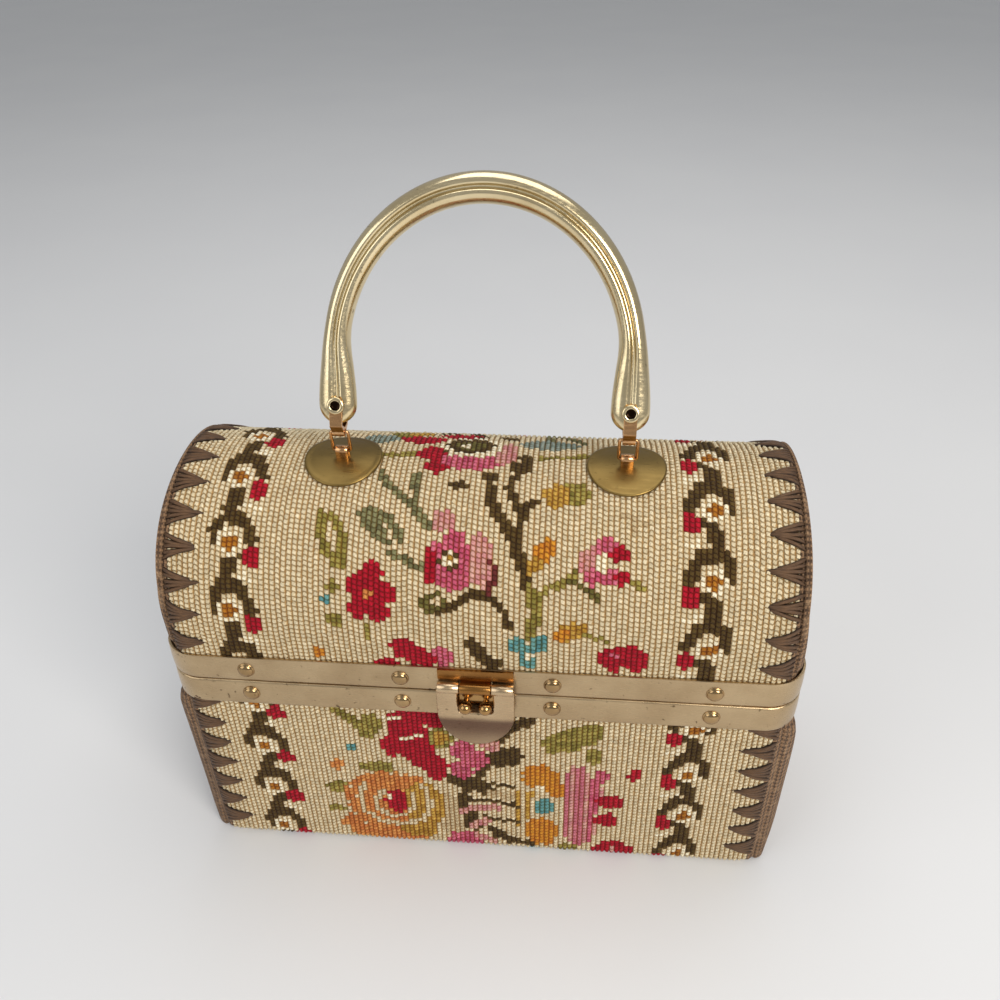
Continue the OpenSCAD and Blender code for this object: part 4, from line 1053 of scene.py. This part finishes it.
def hasp(name):
    """The U between the window and the outer edge, with rounded edges; its tab bends out by TAB_ANGLE."""
    a = np.linspace(np.pi, 2 * np.pi, TAB_ROWS)[1:-1]
    sill = np.linspace(-SILL_HALF, SILL_HALF, TAB_ROWS)[1:-1]
    tab = np.stack([HASP_HALF * np.cos(a), TAB_Z + HASP_HALF * np.sin(a)], -1)
    outer = u_path(HASP_HALF, HASP_TOP, TAB_Z, tab)
    inner = u_path(WINDOW_HALF, HASP_TOP, WINDOW_LOW, np.stack([sill, np.full(len(sill), SILL_Z)], -1))
    inside = np.linspace(0, 1, 14)[1:-1]
    share = np.concatenate([[0.0, 0.03], inside, [0.97, 1.0], [1.0, 0.97, 0.5, 0.03, 0.0]])
    back = np.concatenate([[0.45, 0.06], 0 * inside, [0.06, 0.45], [0.8, 1.2, 1.2, 1.2, 0.8]])
    xz = inner[:, None] + (outer - inner)[:, None] * share[None, :, None]
    crown = 0.25 * np.sin(np.pi * share) * (back < 0.3)
    low = np.clip(BEND_Z - xz[..., 1], 0, None)
    y = HASP_Y + back - crown - np.tan(TAB_ANGLE) * low ** 2 / (low + 1.0)
    points = capped(np.stack([xz[..., 0], y, xz[..., 1]], -1))
    z = points[..., 2]
    # Painted dark reflection: the tab below the window turns dark, less so towards its lower edge.
    stain_and_painted_reflection = smooth((90 - z) / 3) * (0.9 - 0.5 * smooth((85 - z) / 9))
    made = [surface(points, wrap_v=True, tarnish=stain_and_painted_reflection)]
    t = circle(32)
    r = np.array([0, 2.05, 2.2, 2.2, 2.05, 0])[:, None]
    for mid in (-KNUCKLE_X, KNUCKLE_X):
        x = mid + np.array([-4, -4, -3.85, 3.85, 4, 4])[:, None]
        knuckle = np.broadcast_arrays(x, KNUCKLE_Y + r * np.cos(t), KNUCKLE_Z + r * np.sin(t))
        made.append(surface(np.stack(knuckle, -1), wrap_v=True, tarnish=0.0))
    piece(name, made, "clasp", "hasp", "clasp_hasp", weld=True, sharp=50)


hasp("flip_hasp")

# %% [markdown]
# ## Handle fittings
# Two round plates are bent over the barrel, each with a strap staple. Wire rings join the staples to folded links
# that are riveted to the ends of the handle. Plates are spun discs, staples bent strip and rings bent wire.

# %% Plates, staples and rings
HANDLE_X = 52.4  # distance of the handle's legs from the middle
RING_LO, RING_HI = 174.35, 182.95  # heights of the rings' lower and upper wires
RING_HALF, RING_R, WIRE_R = 3.25, 0.9, 0.6  # half width, corner radius and wire of the rings
PLATE_TURN = np.radians(6)  # turn of the fittings forward round the barrel
PLATE_SEAT, PLATE_BEND = 50.9, 51.5  # radius under the plates, and the one on which they are bent
STAPLE_FOOT = 170.9  # where the staples stand on the plates
STAPLE_BEND = 1.4  # radius of their bend
STAPLE_HALF, STAPLE_THICK = 2.3, 0.8  # half width and thickness


def turned(points):
    """Points turned forward round the barrel's axis: (y, z) becomes (y cos - z sin, y sin + z cos)."""
    y, z = points[..., 1], points[..., 2] - BARREL_Z
    cos, sin = np.cos(PLATE_TURN), np.sin(PLATE_TURN)
    return np.stack([points[..., 0], y * cos - z * sin, BARREL_Z + y * sin + z * cos], -1)


def plate(side):
    """A disc by radius and turn, laid on the barrel: y becomes an angle, and the rim rolls over in a small bead."""
    r = np.array([0, 3, 6, 9, 11.5, 13, 13.8, 14.3, 14.5, 14.45, 14.2, 13.5])[:, None]
    h = np.array([1.5, 1.5, 1.45, 1.35, 1.2, 1.15, 1.25, 1.15, 0.8, 0.4, 0.15, 0.1])[:, None]
    t = circle(64)
    a = r * np.sin(t) / PLATE_BEND
    out = PLATE_SEAT + h
    points = np.stack([side * HANDLE_X + r * np.cos(t), out * np.sin(a), BARREL_Z + out * np.cos(a)], -1)
    made = surface(turned(points), wrap_v=True, inside=(side * HANDLE_X, 0, BARREL_Z))
    piece(f"round_plate_{SIDES[side]}", [made], "plate", "lid", f"plate_{SIDES[side]}", weld=True)


def strap(path, half_w, thick, mid_x):
    """A strip with rounded edges along a path in y and z: its section is carried along, thick to both sides."""
    d = unit(np.gradient(path, axis=0))
    n = np.stack([-d[:, 1], d[:, 0]], -1)
    w = np.array([-1, -0.93, 0, 0.93, 1, 1, 0.93, 0, -0.93, -1]) * half_w
    k = np.array([0.5, 1, 1, 1, 0.5, -0.5, -1, -1, -1, -0.5]) * thick / 2
    yz = path[:, None] + n[:, None] * k[None, :, None]
    points = np.concatenate([np.broadcast_to(mid_x + w, yz.shape[:2])[..., None], yz], -1)
    return surface(turned(capped(points)), wrap_v=True)


def staple(side):
    """A strap up from the plate, half round over the ring's wire and down again."""
    a = np.linspace(np.pi, 0, 20)
    leg = np.linspace(STAPLE_FOOT, RING_LO, 6)[:-1]
    bend = np.stack([STAPLE_BEND * np.cos(a), RING_LO + STAPLE_BEND * np.sin(a)], -1)
    up, down = (np.stack([np.full(len(leg), y), leg], -1) for y in (-STAPLE_BEND, STAPLE_BEND))
    path = np.concatenate([up, bend, down[::-1]])
    made = strap(path, STAPLE_HALF, STAPLE_THICK, side * HANDLE_X)
    piece(f"strap_staple_{SIDES[side]}", [made], "link", "lid", f"staple_{SIDES[side]}", weld=True, sharp=60)


def ring(side):
    """Round wire along a rectangle with rounded corners in x and z."""
    plan, out = outline(RING_HALF, (RING_HI - RING_LO) / 2, RING_R, arc=8, flat=6)
    t = circle(14)
    xz = plan[:, None] + out[:, None] * (WIRE_R * np.cos(t))[None, :, None]
    y = np.broadcast_to(WIRE_R * np.sin(t), xz.shape[:2])
    points = np.stack([side * HANDLE_X + xz[..., 0], y, (RING_LO + RING_HI) / 2 + xz[..., 1]], -1)
    made = surface(turned(points), wrap_u=True, wrap_v=True)
    piece(f"wire_ring_{SIDES[side]}", [made], "link", "rings", f"ring_{SIDES[side]}")


for side in SIDES:
    plate(side)
    staple(side)
    ring(side)

# %% [markdown]
# ## Handle
# The handle is a cast horseshoe with a groove down its face between two ridges. It is thick at its ends, where
# the links are riveted, thinner at the neck and full again over the arch. Its section is carried along a line of
# two straight legs and half an ellipse, then leaned back about the upper wires of the rings.

# %% Handle
HANDLE_LEAN = np.radians(22)
FOOT_V = 3.0  # lower end of the handle, up from the upper wires
EYE_V = 9.9  # height of the eyelets
NECK_V = 40.0  # height of the thin neck
SHOULDER_V, ARCH_RISE = 27.5, 57.5  # where the arch starts, and its rise
END_SIZE, NECK_SIZE, TOP_SIZE = (13.8, 7.0), (9.2, 9.2), (10.8, 10.2)  # width and depth along the handle


def leaned(x, y, v):
    """A point of the handle's plane, v up from the rings and y behind it, leaned back about the upper wires."""
    cos, sin = np.cos(HANDLE_LEAN + PLATE_TURN), np.sin(HANDLE_LEAN + PLATE_TURN)
    return turned(np.stack([x, y * cos + v * sin, RING_HI - y * sin + v * cos], -1))


def handle(name):
    """Section (a, h): h = (1 - |a|^2.8)^0.55 (1 - 0.3 e^-(a / 0.17)^2), scaled by width and depth along the line."""
    low = EYE_V - (EYE_V - FOOT_V) * np.cos(np.linspace(0, np.pi / 2, 14))[:-1]
    leg = np.concatenate([low, np.linspace(EYE_V, SHOULDER_V, 18)[:-1]])
    count = len(leg)
    t = np.linspace(np.pi, 0, 150)
    v = np.concatenate([leg, SHOULDER_V + ARCH_RISE * np.sin(t), leg[::-1]])
    x = np.concatenate([np.full(count, -HANDLE_X), HANDLE_X * np.cos(t), np.full(count, HANDLE_X)])
    rise = np.concatenate([np.zeros(count), np.sin(t) ** 2, np.zeros(count)])
    grow = smooth((v - EYE_V) / (NECK_V - EYE_V))
    wide, deep = (end + (neck - end) * grow + (top - neck) * rise
                  for end, neck, top in zip(END_SIZE, NECK_SIZE, TOP_SIZE))
    tip = 1 - ((EYE_V - v) / (EYE_V - FOOT_V)) ** 2
    wide = wide * np.where(v < EYE_V, np.sqrt(np.clip(tip, 0.0004, 1)), 1)
    deep = deep * np.where(v < EYE_V, 0.55 + 0.45 * np.sqrt(np.clip(tip, 0, 1)), 1)
    d = np.stack([np.gradient(x), np.gradient(v)], -1)
    d[:count] = (0, 1)
    d[-count:] = (0, -1)
    d = unit(d)
    side_way = np.stack([d[:, 1], -d[:, 0]], -1)
    a = -np.cos(np.linspace(0, np.pi, 44))
    h = np.clip(1 - np.abs(a) ** 2.8, 0, 1) ** 0.55 * (1 - 0.3 * np.exp(-(a / 0.17) ** 2))
    across = np.concatenate([a, a[-2:0:-1]])
    height = np.concatenate([-h, h[-2:0:-1]])
    xv = np.stack([x, v], -1)[:, None] + side_way[:, None] * (wide / 2)[:, None, None] * across[None, :, None]
    points = leaned(xv[..., 0], (deep / 2)[:, None] * height[None, :], xv[..., 1])
    made = surface(capped(points), wrap_v=True, tarnish=0.0)
    piece(name, [made], "handle", "handle", "handle", weld=True)


def eyelet(side):
    """A tubular rivet: its profile goes out of the bore, over a rolled lip, down the tube and back alike.

    A disc deep in the bore and the bore's wall carry painted shade, in place of the hole through the handle.
    """
    profile = np.array([[0, 1.3, 1.6, 1.66, 1.72, 1.9, 2.3, 2.8, 3.12, 3.2, 3.2, 2.0],
                        [3.62, 3.62, 3.75, 4.3, 4.8, 4.98, 5.04, 4.96, 4.76, 4.5, 4.37, 4.37],
                        [1, 1, 1, 1, 0.7, 0.1, 0, 0, 0, 0, 0, 0]])
    # The third row paints shade: full on the disc that closes the bore and up the bore's wall, none on the lip and
    # tube.
    r, h, dark = np.concatenate([profile * [[1], [-1], [1]], profile[:, ::-1]], 1)[..., None]
    t = circle(32)
    points = leaned(side * HANDLE_X + r * np.cos(t), h + 0 * t, EYE_V + r * np.sin(t))
    made = surface(points, wrap_v=True, tarnish=dark)
    piece(f"tubular_rivet_{SIDES[side]}", [made], "link", "handle", f"eyelet_{SIDES[side]}", weld=True, look="handle")


handle("grooved_handle")
for side in SIDES:
    eyelet(side)

# %% [markdown]
# ## Solids that stay
# The hinges, the clasp's leaf, catch and pin and the links keep their solids. Each gets its metal and slightly
# rounded edges, as tumbled stampings have.

# %% Materials of the solids
slots = {p["node"]: p["material_slot"] for p in frame["record"]["subparts"]}
# The leaf and pin get the copy with painted shade, the catch's ball studs the copy with a painted dark reflection.
OTHER = {"clasp_leaf": BAR, "clasp_pin": BAR, "clasp_catch": STUD}
WELD_GAP = 0.00001  # gap between corners that are one, in metres
EDGE_WIDTH, EDGE_ANGLE = 0.00015, np.radians(40)  # rounding of the edges, in metres, and the least turn of an edge
for name, obj in frame["nodes"].items():
    look = OTHER.get(name, LOOK[slots[name]])
    if not obj.material_slots:
        obj.data.materials.append(look)
    for place in obj.material_slots:
        place.material = look
    if not obj.hide_render and slots[name] in ("band", "clasp", "link"):
        weld = obj.modifiers.new("weld", "WELD")
        weld.merge_threshold = WELD_GAP
        edge = obj.modifiers.new("edge", "BEVEL")
        edge.width, edge.segments, edge.limit_method = EDGE_WIDTH, 2, "ANGLE"
        edge.angle_limit = EDGE_ANGLE
print(sum(not o.hide_render for o in frame["nodes"].values()), "solids stay in view")

# %% [markdown]
# ## Stage
# A pale floor under soft light from the right and front, seen from a little above as in the photograph.

# %% Floor and light
FLOOR_HALF, FLOOR_DROP = 6, -0.0003  # half width of the floor and its height, just under the bag, in metres
AIM = (0, 0, 0.1)  # where the lights look


def staged(obj):
    """Puts an object of the stage in the scene."""
    bpy.context.scene.collection.objects.link(obj)


def lamp(name, place, size, power, colour):
    """A square area light at place that looks at AIM."""
    data = bpy.data.lights.new(name, "AREA")
    data.size, data.energy, data.color = size, power, colour
    obj = bpy.data.objects.new(name, data)
    back = unit(np.array(place, float) - np.array(AIM, float))
    right = unit(np.cross((0, 0, 1), back))
    turn = np.stack([right, np.cross(back, right), back], -1)
    obj.matrix_world = Matrix.Translation(place) @ Matrix(turn.tolist()).to_4x4()
    staged(obj)


floor_mesh = bpy.data.meshes.new("floor")
corners = [(x * FLOOR_HALF, y * FLOOR_HALF, FLOOR_DROP) for x, y in ((-1, -1), (1, -1), (1, 1), (-1, 1))]
floor_mesh.from_pydata(corners, [], [(0, 1, 2, 3)])
paint, tree, shader, _ = shaded("pale_floor")
cloudy = node(tree, "ShaderNodeTexNoise", {"Scale": 6.0, "Vector": place_in(tree)}).outputs["Fac"]
feed(tree, shader, {"Base Color": mixed(tree, cloudy, (0.66, 0.66, 0.67), (0.7, 0.7, 0.7)), "Roughness": 0.6})
floor_mesh.materials.append(paint)
staged(bpy.data.objects.new("floor", floor_mesh))

lamp("key", (0.75, -0.95, 0.9), size=0.7, power=16, colour=(1.0, 0.96, 0.9))
lamp("fill", (-0.9, -0.7, 0.7), size=0.9, power=4, colour=(0.95, 0.97, 1.0))
lamp("top", (0.1, 0.3, 1.3), size=1.0, power=6, colour=(1, 1, 1))

scene = bpy.context.scene
scene.world = bpy.data.worlds.new("studio")
scene.world.use_nodes = True
sky = scene.world.node_tree
feed(sky, sky.nodes["Background"], {"Color": (0.86, 0.88, 0.9, 1), "Strength": 0.45})
scene.view_settings.view_transform = "Standard"
print("floor, three lights and a pale sky")

# %% [markdown]
# The camera stands where a fit to the photograph puts it: its place, its turn and its lens come from the bands, the
# crest and the plates.

# %% Camera
EYE = np.array([34.22, -290.28, 357.89]) * MM
YAW, DOWN, TILT = -0.0994, 0.62, -0.0221  # turn about the upright, look down and tilt, in radians
SENSOR, FOCAL_SHARE = 36, 0.93  # width of the film, and focal length as a share of it
ahead = np.array([np.sin(YAW) * np.cos(DOWN), np.cos(YAW) * np.cos(DOWN), -np.sin(DOWN)])
right = unit(np.cross(ahead, (0, 0, 1)))
above = np.cross(right, ahead)
cam_x = np.cos(TILT) * right + np.sin(TILT) * above
cam_y = np.cos(TILT) * above - np.sin(TILT) * right
lens = bpy.data.cameras.new("photo_camera")
lens.sensor_width, lens.lens, lens.clip_start = SENSOR, SENSOR * FOCAL_SHARE, 0.01
camera = bpy.data.objects.new("photo_camera", lens)
aimed = Matrix(np.stack([cam_x, cam_y, -ahead], -1).tolist()).to_4x4()
camera.matrix_world = Matrix.Translation(EYE) @ aimed
scene.collection.objects.link(camera)
scene.camera = camera
print("camera at", EYE)
